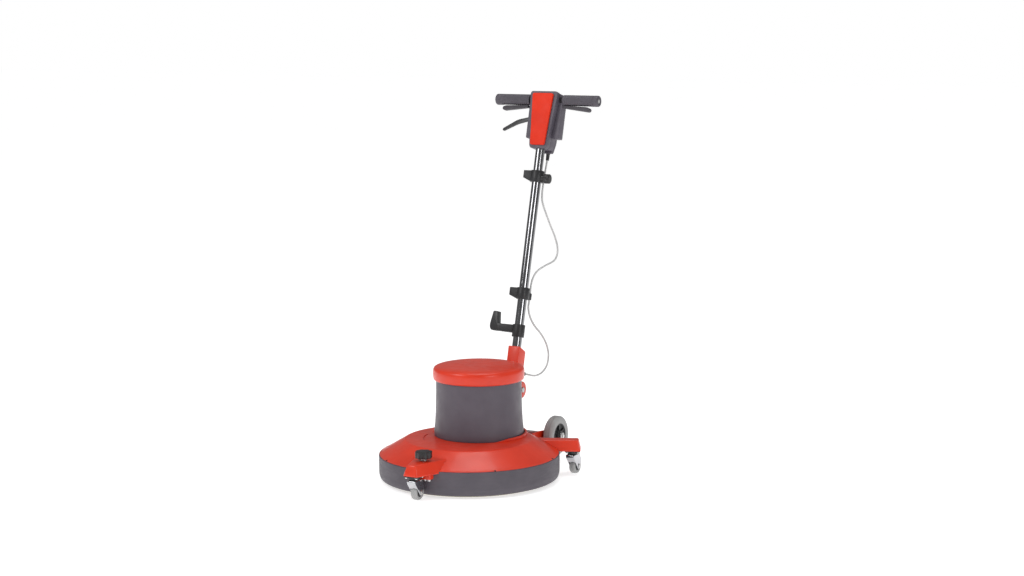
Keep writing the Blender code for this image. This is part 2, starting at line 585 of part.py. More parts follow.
def make_clamps():
    upper = clamp_body("upper_clamp", 0.6960, 0.0215, 0.0185, 0.0430, 0.0120)
    boss = in_stem(rod((0.010, 0, CLAMP_SCREW_S), (0.0270, 0, CLAMP_SCREW_S), 0.0110, SMALL_STEPS))
    combine(upper, cutter("add_upper_boss", boss), "UNION")
    combine(upper, stem_bore("cut_upper_clamp", 0.60, 0.78), "DIFFERENCE")
    screw_hole = in_stem(rod((0.0158, 0, CLAMP_SCREW_S), (0.040, 0, CLAMP_SCREW_S), 0.0043, SMALL_STEPS))
    combine(upper, cutter("cut_upper_screw", screw_hole), "DIFFERENCE")

    knob = [(0.0, 0.0162), (0.0040, 0.0162), (0.0040, 0.0275), (0.0125, 0.0275), (0.0150, 0.0300),
            (0.0155, 0.0390), (0.0140, 0.0450), (0.0100, 0.0475), (0.0, 0.0480)]
    screw_axis = at(0, 0, CLAMP_SCREW_S) @ ALONG_X
    solid("clamp_knob", in_stem(lathe(knob, DRIVE_STEPS, screw_axis)), "black_plastic")

    middle = clamp_body("middle_clamp", 0.3130, 0.0205, 0.0185, 0.0420, 0.0110)
    tab = in_stem(block(0.0060, 0.0145, 0.0120, 0.0258, 0.2985, 0.3165))
    combine(middle, cutter("add_cable_tab", tab), "UNION")
    combine(middle, stem_bore("cut_middle_clamp", 0.25, 0.40), "DIFFERENCE")
    clip = [(0.0037, 0.2970), (0.0060, 0.2970), (0.0060, 0.3180), (0.0037, 0.3180)]
    clip_ring = in_stem(lathe(clip, SMALL_STEPS, at(0.0098, 0.0299)))
    combine(middle, cutter("add_cable_clip", clip_ring), "UNION")

    hook_ring = rod((0, 0, HOOK_S - 0.020), (0, 0, HOOK_S + 0.020), 0.0200, STEM_STEPS)
    hook = solid("cable_hook", in_stem(hook_ring), "black_plastic")
    arm = [(-0.0720, 0.1870), (-0.0060, 0.1840), (-0.0060, 0.2100), (-0.0740, 0.2110), (-0.0780, 0.2500),
           (-0.0930, 0.2500), (-0.1020, 0.2020), (-0.0980, 0.1900), (-0.0900, 0.1870)]
    combine(hook, cutter("add_hook_arm", in_stem(prism(arm, -0.0120, 0.0120, "Y"))), "UNION")
    combine(hook, stem_bore("cut_hook", 0.10, 0.30), "DIFFERENCE")


def make_head():
    bottom, top = 0.786, 0.974
    outline = [(-0.0270, bottom), (0.0270, bottom), (0.0320, bottom + 0.008), (0.0500, top - 0.010),
               (0.0460, top), (-0.0460, top), (-0.0500, top - 0.010), (-0.0320, bottom + 0.008)]
    half_shell = in_stem(prism(outline, -0.0220, 0.0, "Y"))
    front = solid("head_front_shell", half_shell, "dark_plastic", smooth=False)
    soften(front, 0.0022, 1)
    outline = [(-0.0270, bottom), (0.0270, bottom), (0.0320, bottom + 0.008), (0.0350, 0.8230),
               (0.0600, 0.8230), (0.0600, 0.9650), (0.0460, 0.9710), (-0.0460, 0.9710), (-0.0600, 0.9650),
               (-0.0600, 0.8230), (-0.0350, 0.8230), (-0.0320, bottom + 0.008)]
    half_shell = in_stem(prism(outline, GAP, 0.0300, "Y"))
    rear = solid("head_rear_shell", half_shell, "dark_plastic", smooth=False)
    soften(rear, 0.0022, 1)
    section = [(-0.0300, -0.0180), (0.0300, -0.0180), (0.0300, 0.0040), (0.0540, 0.0040),
               (0.0540, 0.0260), (-0.0540, 0.0260), (-0.0540, 0.0040), (-0.0300, 0.0040)]
    room = cutter("cut_head_room", in_stem(prism(section, 0.8460, 0.9260)))
    combine(front, room, "DIFFERENCE")
    combine(rear, room, "DIFFERENCE")
    bore = stem_bore("cut_head_bore", 0.70, 0.8460)
    bar_room = in_stem(rod((-0.08, GRIP_N, GRIP_S), (0.08, GRIP_N, GRIP_S), 0.0128, STEM_STEPS))
    bar_hole = cutter("cut_head_bar", bar_room)
    for shell in (front, rear):
        combine(shell, bore, "DIFFERENCE")
        combine(shell, bar_hole, "DIFFERENCE")
    slot = in_stem(block(-0.0700, -0.0500, 0.0080, 0.0180, 0.8720, 0.9020))
    combine(rear, cutter("cut_lever_slot", slot), "DIFFERENCE")

    shield = [(-0.0220, 0.7960), (0.0220, 0.7960), (0.0255, 0.8000), (0.0370, 0.9620), (0.0340, 0.9660),
              (-0.0340, 0.9660), (-0.0370, 0.9620), (-0.0255, 0.8000)]
    plate = in_stem(prism(shield, -0.0300, -0.0220 - GAP, "Y"))
    cover = solid("head_cover", plate, "red_paint", smooth=False)
    soften(cover, 0.0030, 2)

    hump = [(0.0260, 0.7780), (0.0400, 0.7780), (0.0550, 0.8140), (0.0550, 0.8900), (0.0500, 0.9000),
            (0.0260, 0.9000)]
    chamber = cutter("add_rear_chamber", in_stem(prism(hump, -0.0280, 0.0280, "X")))
    combine(rear, chamber, "UNION")
    gland_hole = in_stem(rod((0.0110, 0.0355, 0.760), (0.0110, 0.0355, 0.792), 0.0040, SMALL_STEPS))
    combine(rear, cutter("cut_gland_hole", gland_hole), "DIFFERENCE")

    switch = solid("switch_block", in_stem(block(-0.0280, 0.0280, 0.0140, 0.0257, 0.8900, 0.9200)),
                   "black_plastic", smooth=False)
    soften(switch, 0.001, 1)


def make_grips():
    bar = [(0.0105, -0.1780), (0.0125, -0.1780), (0.0125, 0.1780), (0.0105, 0.1780)]
    solid("handlebar", in_stem(lathe(bar, STEM_STEPS, at(0, GRIP_N, GRIP_S) @ ALONG_X)), "steel")
    for side, name in ((1, "left"), (-1, "right")):
        turn = ALONG_X if side > 0 else Matrix.Rotation(math.radians(-90.0), 4, "Y")
        sleeve = [(0.0128, 0.0605), (0.0180, 0.0605), (0.0182, 0.1780), (0.0170, 0.1835), (0.0140, 0.1865),
                  (0.0090, 0.1870), (0.0080, 0.1850), (0.0, 0.1848), (0.0, 0.1784), (0.0128, 0.1784)]
        tube = in_stem(lathe(sleeve, STEM_STEPS, at(0, GRIP_N, GRIP_S) @ turn))
        grip = solid(f"grip_{name}", tube, "dark_plastic")
        low, high = sorted((side * 0.0640, side * 0.1640))
        slot = in_stem(block(low, high, GRIP_N - 0.0085, GRIP_N + 0.0085, GRIP_S - 0.03, GRIP_S - 0.0132))
        combine(grip, cutter(f"cut_trigger_{name}", slot), "DIFFERENCE")
        wedge = [(0.0660, -0.0180), (0.1480, -0.0210), (0.1585, -0.0245), (0.1600, -0.0330),
                 (0.1540, -0.0365), (0.1400, -0.0350), (0.0660, -0.0260)]
        outline = [(side * x, GRIP_S + s) for x, s in wedge]
        trigger = prism(outline, GRIP_N - 0.0080, GRIP_N + 0.0080, "Y")
        piece = solid(f"trigger_{name}", in_stem(trigger), "dark_plastic", smooth=False)
        soften(piece, 0.0018, 1)


def make_lever():
    line = [(-0.0440, 0.8790), (-0.0640, 0.8795), (-0.1000, 0.8700), (-0.1500, 0.8455), (-0.1540, 0.8480),
            (-0.1530, 0.8540), (-0.1020, 0.8840), (-0.0640, 0.8925), (-0.0440, 0.8930)]
    lever = solid("tilt_lever", in_stem(prism(line, 0.0090, 0.0170, "Y")), "black_plastic", smooth=False)
    soften(lever, 0.0015, 1)


# Route of the control cable in stem coordinates, from the gland under the head to the one on the socket
CABLE = [
    (0.0110, 0.0355, 0.7880), (0.0110, 0.0355, 0.7660), (0.0105, 0.0325, 0.7300), (0.0098, 0.0300, 0.6850),
    (0.0099, 0.0302, 0.6420), (0.0128, 0.0390, 0.6120), (0.0250, 0.0765, 0.5570), (0.0358, 0.1095, 0.5130),
    (0.0412, 0.1255, 0.4750), (0.0385, 0.1165, 0.4420), (0.0264, 0.0804, 0.4180), (0.0165, 0.0502, 0.3960),
    (0.0115, 0.0350, 0.3720), (0.0098, 0.0299, 0.3480), (0.0098, 0.0299, 0.3240), (0.0098, 0.0299, 0.2920),
    (0.0098, 0.0299, 0.2710), (0.0136, 0.0414, 0.2440),
    (0.0190, 0.0680, 0.2190), (0.0270, 0.1070, 0.1960), (0.0330, 0.1400, 0.1680), (0.0385, 0.1540, 0.1340),
    (0.0425, 0.1430, 0.0990), (0.0450, 0.1110, 0.0730), (0.0455, 0.0770, 0.0600), (0.0450, 0.0480, 0.0560),
    (0.0410, 0.0280, 0.0565), (0.0330, 0.0200, 0.0570), (0.0255, 0.0200, 0.0570),
]


def smooth_line(knots):
    """Catmull-Rom line through the knots, two points to each span."""
    line = []
    last = len(knots) - 1
    for i in range(last):
        a, b, c, d = (knots[max(i - 1, 0)], knots[i], knots[i + 1], knots[min(i + 2, last)])
        line.append(b)
        line.append((9.0 * (b + c) - a - d) / 16.0)
    return line + [knots[-1]]


def make_cable():
    line = smooth_line([Vector(point) for point in CABLE])
    curve = bpy.data.curves.new("control_cable", "CURVE")
    curve.dimensions = "3D"
    curve.bevel_depth = CABLE_R
    curve.bevel_resolution = 2
    curve.use_fill_caps = True
    spline = curve.splines.new("POLY")
    spline.points.add(len(line) - 1)
    for point, where in zip(spline.points, line):
        point.co = (*(STEM @ where), 1.0)
    curve.materials.append(paint("grey_cable"))
    cable = bpy.data.objects.new("control_cable", curve)
    bpy.context.scene.collection.objects.link(cable)


# ---------------------------------------------------------------- joint axes

def set_origin(name, point):
    """Put an object's origin on its joint axis without moving its shape."""
    obj = bpy.data.objects[name]
    obj.data.transform(Matrix.Translation(-Vector(point)))
    obj.location = point


def hold_in(parent_name, point, names):
    """Parent pieces to an empty that stands on the axis they share."""
    empty = bpy.data.objects.new(parent_name, None)
    empty.location = point
    bpy.context.scene.collection.objects.link(empty)
    for name in names:
        obj = bpy.data.objects[name]
        obj.parent = empty
        obj.matrix_parent_inverse = Matrix.Translation(-Vector(point))


def place_joints():
    set_origin("height_knob", (0.0, KNOB_Y, ARM_TOP))
    for side, (x, y) in SWIVELS.items():
        set_origin(f"castor_{side}_fork", (x, y, ARM_BOTTOM))
        set_origin(f"castor_{side}_wheel", (x, y + CASTOR_TRAIL, CASTOR_R))
    for side, name in ((1, "left"), (-1, "right")):
        hold_in(f"transport_wheel_{name}", (side * TYRE_X, AXLE_Y, AXLE_Z),
                [f"transport_tyre_{name}", f"transport_hub_{name}"])
        x, n, s = TRIGGER_AXIS
        set_origin(f"trigger_{name}", STEM @ Vector((side * x, n, s)))
    hold_in("spindle", (0.0, 0.0, 0.0), ["spindle_shaft", "spindle_pulley", "pad_driver", "polishing_pad"])
    hold_in("motor", (0.0, MOTOR_Y, 0.0), ["motor_rotor", "cooling_fan", "motor_pulley"])
    set_origin("tilt_lever", STEM @ Vector(LEVER_AXIS))
    set_origin("clamp_knob", STEM @ Vector((0.0, 0.0, CLAMP_SCREW_S)))
    set_origin("cable_hook", STEM @ Vector((0.0, 0.0, HOOK_S)))
    set_origin("lock_rod", STEM @ Vector((0.0, ROD_N, ROD_FOOT)))
    hold_in("handle", (0.0, PIVOT_Y, PIVOT_Z), [
        "stem_socket", "stem_tube", "lock_rod", "upper_clamp", "clamp_knob", "middle_clamp", "cable_hook",
        "head_front_shell", "head_rear_shell", "head_cover", "switch_block", "handlebar", "grip_left",
        "grip_right", "trigger_left", "trigger_right", "tilt_lever", "control_cable",
    ])


def main():
    clear_scene()
    make_deck()
    make_arms()
    make_front_bracket()
    make_height_knob()
    for side in SWIVELS:
        make_castor_plate(side)
        make_castor(side)
    make_transport_wheels()
    tower = make_tower()
    make_bracket(tower)
    make_motor()
    make_drive()
    make_stem()
    make_clamps()
    make_head()
    make_grips()
    make_lever()
    make_cable()
    place_joints()


main()
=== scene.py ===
"""Rotary floor machine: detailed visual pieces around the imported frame, with stage, lights and camera.

Metres, +Z up. The spindle axis is the Z axis, -Y is the front and +X is on the operator's left.
"""

import math

import bmesh
import bpy
from mathutils import Matrix, Vector


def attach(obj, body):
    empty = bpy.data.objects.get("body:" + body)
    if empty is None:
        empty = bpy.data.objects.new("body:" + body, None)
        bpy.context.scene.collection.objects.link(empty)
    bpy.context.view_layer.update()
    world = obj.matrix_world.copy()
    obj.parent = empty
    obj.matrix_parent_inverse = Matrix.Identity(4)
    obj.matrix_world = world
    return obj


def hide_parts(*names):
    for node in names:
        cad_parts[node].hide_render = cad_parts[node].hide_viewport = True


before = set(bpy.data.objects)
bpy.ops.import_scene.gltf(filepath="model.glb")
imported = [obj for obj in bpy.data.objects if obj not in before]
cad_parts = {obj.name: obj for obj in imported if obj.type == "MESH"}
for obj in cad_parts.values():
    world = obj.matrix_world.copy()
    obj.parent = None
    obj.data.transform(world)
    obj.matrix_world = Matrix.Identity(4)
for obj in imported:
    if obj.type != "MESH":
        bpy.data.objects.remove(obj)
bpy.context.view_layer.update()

GAP = 0.0003                      # clearance between touching pieces

ROUND = 128                       # facets round the deck, bumper and tower
MEDIUM = 64                       # facets round wheels, tubes and grips
SMALL = 24                        # facets round bolts and pins

# Deck and bumper
DECK_TOP = 0.130
SLOPE_FOOT = (0.2735, 0.0852)     # radius and height at which the deck's slope meets its rim
RIM_Z = 0.083
RIM_R = 0.2775
SKIRT_R = 0.2605
BUMPER_R = 0.280

# Motor tower
TOWER_Y = 0.062
SHROUD_R = 0.1335
SHROUD_TOP = 0.330
COLLAR_TOP = 0.1385
COLLAR_OPEN_AT = -101.0           # middle of the collar's open front, degrees about the tower axis
MOTOR_Y = 0.104
FOOT_BOLTS = [(x, z) for x in (-0.034, 0.034) for z in (0.222, 0.268)]

# Castor arms and castors. An arm's sections are (bottom end, top end, half width below, half width above),
# measured outwards from its castor's swivel axis
ARM_BOTTOM = 0.0770
ARM_TOP = 0.1115
FRONT_SECTIONS = [(-0.1150, -0.1150, 0.0750, 0.0550), (-0.0495, -0.0495, 0.0550, 0.0350),
                  (0.0260, 0.0180, 0.0235, 0.0140)]
LEFT_SECTIONS = [(-0.1150, -0.1150, 0.0300, 0.0200), (0.0260, 0.0180, 0.0300, 0.0200)]
SWIVELS = {"front": (0.0, -0.3270), "left": (0.2550, 0.2050)}
ARM_ANGLES = {"front": -90.0, "left": 25.0}
BRACKET_BOLT_Y = -0.2885
KNOB_Y = -0.2730
PLATE_HALF = 0.0240
PLATE_BOLT = 0.0170
CASTOR_R = 0.0245
CASTOR_TRAIL = 0.0165
FORK_HALF = 0.0145

# Transport wheels
AXLE_Y, AXLE_Z = 0.324, 0.0885
TYRE_R = 0.0635
TYRE_X = 0.133

# Handle. Its stem coordinates are x, n behind the tube and s along the tube from its foot
LEAN = math.radians(15.0)
STEM_FOOT = Vector((0.0, 0.272, 0.233))
PIVOT_Y, PIVOT_Z = 0.298, 0.232
PIN_HOLE_R = 0.0063
LOCK_ROD_N = 0.007
TUBE_R = 0.015
HOOK_S = 0.192
CLAMP_SCREW_S = 0.690
HEAD_BOTTOM, HEAD_TOP = 0.786, 0.974
ROOM_LOW, ROOM_HIGH = 0.8460, 0.9260
GRIP_S, GRIP_N = 0.950, 0.009

# Control cable. The head's gland and the middle clip are placed by (x, n), the socket's gland by (n, s)
CABLE_R = 0.0031
CABLE_BORE_R = 0.0040
HEAD_GLAND = (0.0110, 0.0355)
CLIP_PLACE = (0.0098, 0.0299)
SOCKET_GLAND = (0.020, 0.057)

# Turns that point a shape's +Z elsewhere
ALONG_X = Matrix.Rotation(math.radians(90.0), 4, "Y")
AGAINST_X = Matrix.Rotation(math.radians(-90.0), 4, "Y")
ALONG_Y = Matrix.Rotation(math.radians(-90.0), 4, "X")
DOWN = Matrix.Rotation(math.pi, 4, "X")
STEM = Matrix.Translation(STEM_FOOT) @ Matrix.Rotation(-LEAN, 4, "X")


# ---------------------------------------------------------------- materials

def new_material(name):
    material = bpy.data.materials.new(name)
    material.use_nodes = True
    tree = material.node_tree
    shader = tree.nodes["Principled BSDF"]
    place = tree.nodes.new("ShaderNodeTexCoord").outputs["Object"]
    return material, tree, shader, place


def noise(tree, place, scale, detail=4.0, stretch=None):
    """Noise over the object's own coordinates; stretch squeezes it along an axis."""
    if stretch:
        mapping = tree.nodes.new("ShaderNodeMapping")
        mapping.inputs["Scale"].default_value = stretch
        tree.links.new(place, mapping.inputs["Vector"])
        place = mapping.outputs["Vector"]
    node = tree.nodes.new("ShaderNodeTexNoise")
    node.inputs["Scale"].default_value = scale
    node.inputs["Detail"].default_value = detail
    tree.links.new(place, node.inputs["Vector"])
    return node.outputs["Fac"]


def spread(tree, value, low, high, start=0.3, stop=0.7):
    """Map a noise value from start..stop to low..high."""
    node = tree.nodes.new("ShaderNodeMapRange")
    for socket, number in (("From Min", start), ("From Max", stop), ("To Min", low), ("To Max", high)):
        node.inputs[socket].default_value = number
    tree.links.new(value, node.inputs["Value"])
    return node.outputs["Result"]


def two_tones(tree, shader, value, dark, light, start=0.3, stop=0.7):
    ramp = tree.nodes.new("ShaderNodeValToRGB")
    ramp.color_ramp.elements[0].position = start
    ramp.color_ramp.elements[1].position = stop
    ramp.color_ramp.elements[0].color = (*dark, 1.0)
    ramp.color_ramp.elements[1].color = (*light, 1.0)
    tree.links.new(value, ramp.inputs["Fac"])
    tree.links.new(ramp.outputs["Color"], shader.inputs["Base Color"])


def relief(tree, shader, value, strength, distance):
    bump = tree.nodes.new("ShaderNodeBump")
    bump.inputs["Strength"].default_value = strength
    bump.inputs["Distance"].default_value = distance
    tree.links.new(value, bump.inputs["Height"])
    tree.links.new(bump.outputs["Normal"], shader.inputs["Normal"])


def surface(name, dark, light, rough, grain, depth, metallic=0.0, coat=0.0, patches=14.0,
            stretch=None, shine=0.5):
    """One moulded, painted or metal surface: soft colour patches, uneven gloss and a fine relief."""
    material, tree, shader, place = new_material(name)
    shader.inputs["Metallic"].default_value = metallic
    shader.inputs["Specular IOR Level"].default_value = shine
    shader.inputs["Coat Weight"].default_value = coat
    shader.inputs["Coat Roughness"].default_value = 0.12
    two_tones(tree, shader, noise(tree, place, patches), dark, light)
    gloss = noise(tree, place, patches * 3.0, 6.0, stretch)
    tree.links.new(spread(tree, gloss, rough[0], rough[1]), shader.inputs["Roughness"])
    relief(tree, shader, noise(tree, place, grain, 3.0, stretch), 0.35, depth)
    return material


def winding_material():
    """Copper turns showing as fine bands round the stator."""
    material, tree, shader, place = new_material("winding_copper")
    shader.inputs["Metallic"].default_value = 1.0
    shader.inputs["Roughness"].default_value = 0.38
    wave = tree.nodes.new("ShaderNodeTexWave")
    wave.bands_direction = "Z"
    wave.inputs["Scale"].default_value = 180.0
    wave.inputs["Distortion"].default_value = 1.5
    tree.links.new(place, wave.inputs["Vector"])
    two_tones(tree, shader, wave.outputs["Fac"], (0.30, 0.09, 0.035), (0.72, 0.30, 0.14))
    relief(tree, shader, wave.outputs["Fac"], 0.6, 0.0004)
    return material


def pad_material():
    """Non-woven floor pad: tangled fibres in warm grey."""
    material, tree, shader, place = new_material("pad_fibre")
    shader.inputs["Roughness"].default_value = 0.95
    fibres = noise(tree, place, 420.0, 8.0, (1.0, 1.0, 2.5))
    two_tones(tree, shader, fibres, (0.20, 0.175, 0.13), (0.66, 0.61, 0.50))
    relief(tree, shader, fibres, 1.0, 0.0012)
    return material


def floor_material():
    material, tree, shader, place = new_material("studio_floor")
    shader.inputs["Roughness"].default_value = 0.65
    two_tones(tree, shader, noise(tree, place, 3.0), (0.90, 0.90, 0.90), (0.94, 0.94, 0.94))
    return material


RED = surface("red_enamel", (0.62, 0.028, 0.006), (0.70, 0.035, 0.008), (0.30, 0.42), 900.0, 0.00002,
              coat=0.20, shine=0.4)
COVER_RED = surface("red_moulding", (0.60, 0.024, 0.006), (0.68, 0.030, 0.008), (0.40, 0.52), 1100.0, 0.00003,
                    shine=0.15)
TOWER_GREY = surface("tower_plastic", (0.074, 0.062, 0.082), (0.090, 0.077, 0.099), (0.36, 0.50),
                     1500.0, 0.00012)
HEAD_GREY = surface("head_plastic", (0.076, 0.066, 0.086), (0.094, 0.082, 0.104), (0.40, 0.54),
                    1700.0, 0.00014)
GRIP_GREY = surface("grip_rubber", (0.062, 0.056, 0.070), (0.082, 0.074, 0.090), (0.52, 0.66),
                    1300.0, 0.00025)
BUMPER = surface("bumper_rubber", (0.066, 0.057, 0.072), (0.084, 0.073, 0.090), (0.46, 0.62), 800.0, 0.00016,
                 stretch=(1.0, 1.0, 5.0))
BLACK = surface("black_plastic", (0.010, 0.010, 0.011), (0.020, 0.020, 0.022), (0.34, 0.50),
                1400.0, 0.00012)
CHROME = surface("chrome", (0.44, 0.44, 0.46), (0.54, 0.54, 0.56), (0.05, 0.13), 900.0, 0.00001,
                 metallic=1.0, patches=30.0)
TUBE_CHROME = surface("tube_chrome", (0.24, 0.24, 0.25), (0.31, 0.31, 0.32), (0.08, 0.15), 900.0, 0.000001,
                      metallic=1.0, patches=30.0)
DARK_STEEL = surface("blackened_steel", (0.030, 0.028, 0.032), (0.045, 0.042, 0.048), (0.40, 0.52),
                     1200.0, 0.00004, metallic=0.6)
TRIGGER_GREY = surface("trigger_plastic", (0.034, 0.029, 0.037), (0.046, 0.040, 0.050), (0.44, 0.58),
                       1500.0, 0.00012)
ZINC = surface("zinc_steel", (0.50, 0.50, 0.50), (0.66, 0.66, 0.65), (0.24, 0.40), 1200.0, 0.00004,
               metallic=1.0, patches=60.0)
STEEL = surface("turned_steel", (0.42, 0.42, 0.43), (0.56, 0.56, 0.57), (0.28, 0.44), 1300.0, 0.00005,
                metallic=1.0, stretch=(1.0, 1.0, 8.0))
ALUMINIUM = surface("cast_aluminium", (0.54, 0.55, 0.57), (0.66, 0.67, 0.69), (0.36, 0.52), 700.0, 0.0002,
                    metallic=1.0)
IRON = surface("cast_iron", (0.10, 0.10, 0.105), (0.20, 0.20, 0.21), (0.55, 0.75), 600.0, 0.0004,
               metallic=0.8)
TYRE_GREY = surface("grey_rubber", (0.30, 0.30, 0.30), (0.38, 0.38, 0.375), (0.58, 0.74), 900.0, 0.00025)
CABLE_GREY = surface("cable_sheath", (0.48, 0.48, 0.48), (0.58, 0.58, 0.58), (0.40, 0.55), 1500.0, 0.00006)
BELT = surface("belt_rubber", (0.012, 0.012, 0.012), (0.026, 0.026, 0.026), (0.65, 0.85), 900.0, 0.0003)
DRIVER_GREY = surface("driver_plastic", (0.32, 0.32, 0.34), (0.42, 0.42, 0.44), (0.45, 0.60), 900.0, 0.0002)
COPPER = winding_material()
PAD = pad_material()
FLOOR = floor_material()


# ---------------------------------------------------------------- shapes

def rounded(points, count=4):
    """An outline whose corners with a third number are rounded to about that radius."""
    line = []
    total = len(points)
    for i, point in enumerate(points):
        corner = Vector(point[:2])
        if len(point) < 3:
            line.append(tuple(corner))
            continue
        before = Vector(points[i - 1][:2]) - corner
        after = Vector(points[(i + 1) % total][:2]) - corner
        reach_in = before.normalized() * min(point[2], before.length * 0.49)
        reach_out = after.normalized() * min(point[2], after.length * 0.49)
        for k in range(count + 1):
            t = k / count
            line.append(tuple(corner + reach_in * (1 - t) ** 2 + reach_out * t ** 2))
    return line


def arc(centre_a, centre_b, radius, start, end, count):
    return [
        (centre_a + radius * math.cos(math.radians(start + (end - start) * i / count)),
         centre_b + radius * math.sin(math.radians(start + (end - start) * i / count)))
        for i in range(count + 1)
    ]


def polar(count, radius_at):
    """A closed outline whose radius is a function of the angle."""
    angles = [math.tau * i / count for i in range(count)]
    return [(radius_at(angle) * math.cos(angle), radius_at(angle) * math.sin(angle)) for angle in angles]


def both_ends(half):
    """A turned outline from its lower half: the same points again, mirrored in height."""
    return half + [(point[0], -point[1], *point[2:]) for point in reversed(half)]


def both_sides(right):
    """An outline from its right-hand side, listed upwards: it starts at the lower left corner."""
    left = [(-point[0], *point[1:]) for point in right]
    return left[:1] + right + left[:0:-1]


def at(x, y, z=0.0):
    return Matrix.Translation((x, y, z))


def lathe(profile, steps, matrix=None):
    """A closed (radius, height) outline turned about Z."""
    bm = bmesh.new()
    rings = []
    for radius, height in profile:
        if radius < 1e-7:
            rings.append([bm.verts.new((0.0, 0.0, height))])
            continue
        angles = [math.tau * i / steps for i in range(steps)]
        ring = [(radius * math.cos(angle), radius * math.sin(angle), height) for angle in angles]
        rings.append([bm.verts.new(spot) for spot in ring])
    for here, after in zip(rings, rings[1:] + rings[:1]):
        if len(here) == 1 and len(after) == 1:
            continue
        for i in range(steps):
            j = (i + 1) % steps
            if len(here) == 1:
                bm.faces.new((here[0], after[i], after[j]))
            elif len(after) == 1:
                bm.faces.new((here[i], after[0], here[j]))
            else:
                bm.faces.new((here[i], after[i], after[j], here[j]))
    if matrix:
        bm.transform(matrix)
    return bm


def prism(outline, low, high, axis="Z", matrix=None):
    """An outline extruded along an axis; outline coordinates are the other two axes, in order."""
    def spot(a, b, c):
        return {"X": (c, a, b), "Y": (a, c, b), "Z": (a, b, c)}[axis]

    bm = bmesh.new()
    ends = [[bm.verts.new(spot(a, b, level)) for a, b in outline] for level in (low, high)]
    bm.faces.new(ends[0])
    bm.faces.new(list(reversed(ends[1])))
    for i in range(len(outline)):
        j = (i + 1) % len(outline)
        bm.faces.new((ends[0][j], ends[0][i], ends[1][i], ends[1][j]))
    if matrix:
        bm.transform(matrix)
    return bm


def block(x0, x1, y0, y1, z0, z1, matrix=None):
    return prism([(x0, y0), (x1, y0), (x1, y1), (x0, y1)], z0, z1, "Z", matrix)


def rod(start, end, radius, steps=SMALL):
    start, end = Vector(start), Vector(end)
    turn = Vector((0, 0, 1)).rotation_difference(end - start).to_matrix().to_4x4()
    length = (end - start).length
    outline = [(0.0, 0.0), (radius, 0.0), (radius, length), (0.0, length)]
    return lathe(outline, steps, Matrix.Translation(start) @ turn)


def tube_bore(low, high):
    """Cutter for what fits round the stem tube, in stem coordinates."""
    return rod((0, 0, low), (0, 0, high), TUBE_R + GAP, MEDIUM)


def in_stem(bm):
    bm.transform(STEM)
    return bm


def join(*meshes):
    whole = bmesh.new()
    for bm in meshes:
        scratch = bpy.data.meshes.new("scratch")
        bm.to_mesh(scratch)
        bm.free()
        whole.from_mesh(scratch)
        bpy.data.meshes.remove(scratch)
    return whole


def make_object(name, bm):
    bmesh.ops.recalc_face_normals(bm, faces=bm.faces)
    mesh = bpy.data.meshes.new(name)
    bm.to_mesh(mesh)
    bm.free()
    obj = bpy.data.objects.new(name, mesh)
    bpy.context.scene.collection.objects.link(obj)
    return obj


def taken_back(obj):
    """The mesh of an object, which is then removed."""
    bm = bmesh.new()
    bm.from_mesh(obj.data)
    bpy.data.objects.remove(obj, do_unlink=True)
    return bm


def apply_modifiers(obj):
    graph = bpy.context.evaluated_depsgraph_get()
    mesh = bpy.data.meshes.new_from_object(obj.evaluated_get(graph))
    obj.modifiers.clear()
    obj.data = mesh


def combine(obj, bm, operation):
    """Boolean with another closed mesh, applied straight away."""
    other = make_object("helper", bm)
    modifier = obj.modifiers.new("boolean", "BOOLEAN")
    modifier.operation = operation
    modifier.object = other
    apply_modifiers(obj)
    bpy.data.objects.remove(other, do_unlink=True)


def soften(obj, width, segments=3, angle=35.0):
    modifier = obj.modifiers.new("bevel", "BEVEL")
    modifier.width = width
    modifier.segments = segments
    modifier.limit_method = "ANGLE"
    modifier.angle_limit = math.radians(angle)
    apply_modifiers(obj)


def piece(obj, material, body, nodes=(), sharp=38.0):
    """Give a finished shape its surface and its body, and hide the imported solids it stands in for."""
    mesh = obj.data
    mesh.materials.clear()
    mesh.materials.append(material)
    for face in mesh.polygons:
        face.use_smooth = True
        face.material_index = 0
    mesh.set_sharp_from_angle(angle=math.radians(sharp))
    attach(obj, body)
    if nodes:
        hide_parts(*nodes)
    return obj


def solid(name, bm, material, body, nodes=(), bevel=0.0, segments=3, sharp=38.0):
    obj = make_object(name, bm)
    if bevel:
        soften(obj, bevel, segments)
    return piece(obj, material, body, nodes, sharp)


def hex_bolt(radius, height, shank, matrix):
    """Hexagon head on a washer, with its shank running the other way along Z."""
    washer_r = radius * 1.35
    shank_r = radius * 0.5
    head = rounded([(0.0, 0.0), (radius, 0.0), (radius, height, height * 0.25), (0.0, height)])
    washer = [(0.0, -0.0008), (washer_r, -0.0008), (washer_r, 0.0002), (0.0, 0.0002)]
    stem = [(0.0, -shank), (shank_r, -shank), (shank_r, 0.0001), (0.0, 0.0001)]
    return join(lathe(head, 6, matrix), lathe(washer, SMALL, matrix), lathe(stem, 12, matrix))


# ---------------------------------------------------------------- deck, bumper and arms

def deck_envelope():
    """The outer shape of deck and bumper as one solid, for trimming what meets them."""
    slope_r, slope_z = SLOPE_FOOT
    line = [(0.0, DECK_TOP + GAP), (0.1950, DECK_TOP + GAP), (0.1990 + GAP, 0.1290 + GAP),
            (slope_r + GAP, slope_z + GAP), (RIM_R + GAP, 0.0836 + GAP), (BUMPER_R + GAP, 0.0815),
            (BUMPER_R + GAP, 0.0), (0.0, 0.0)]
    return lathe(line, ROUND)


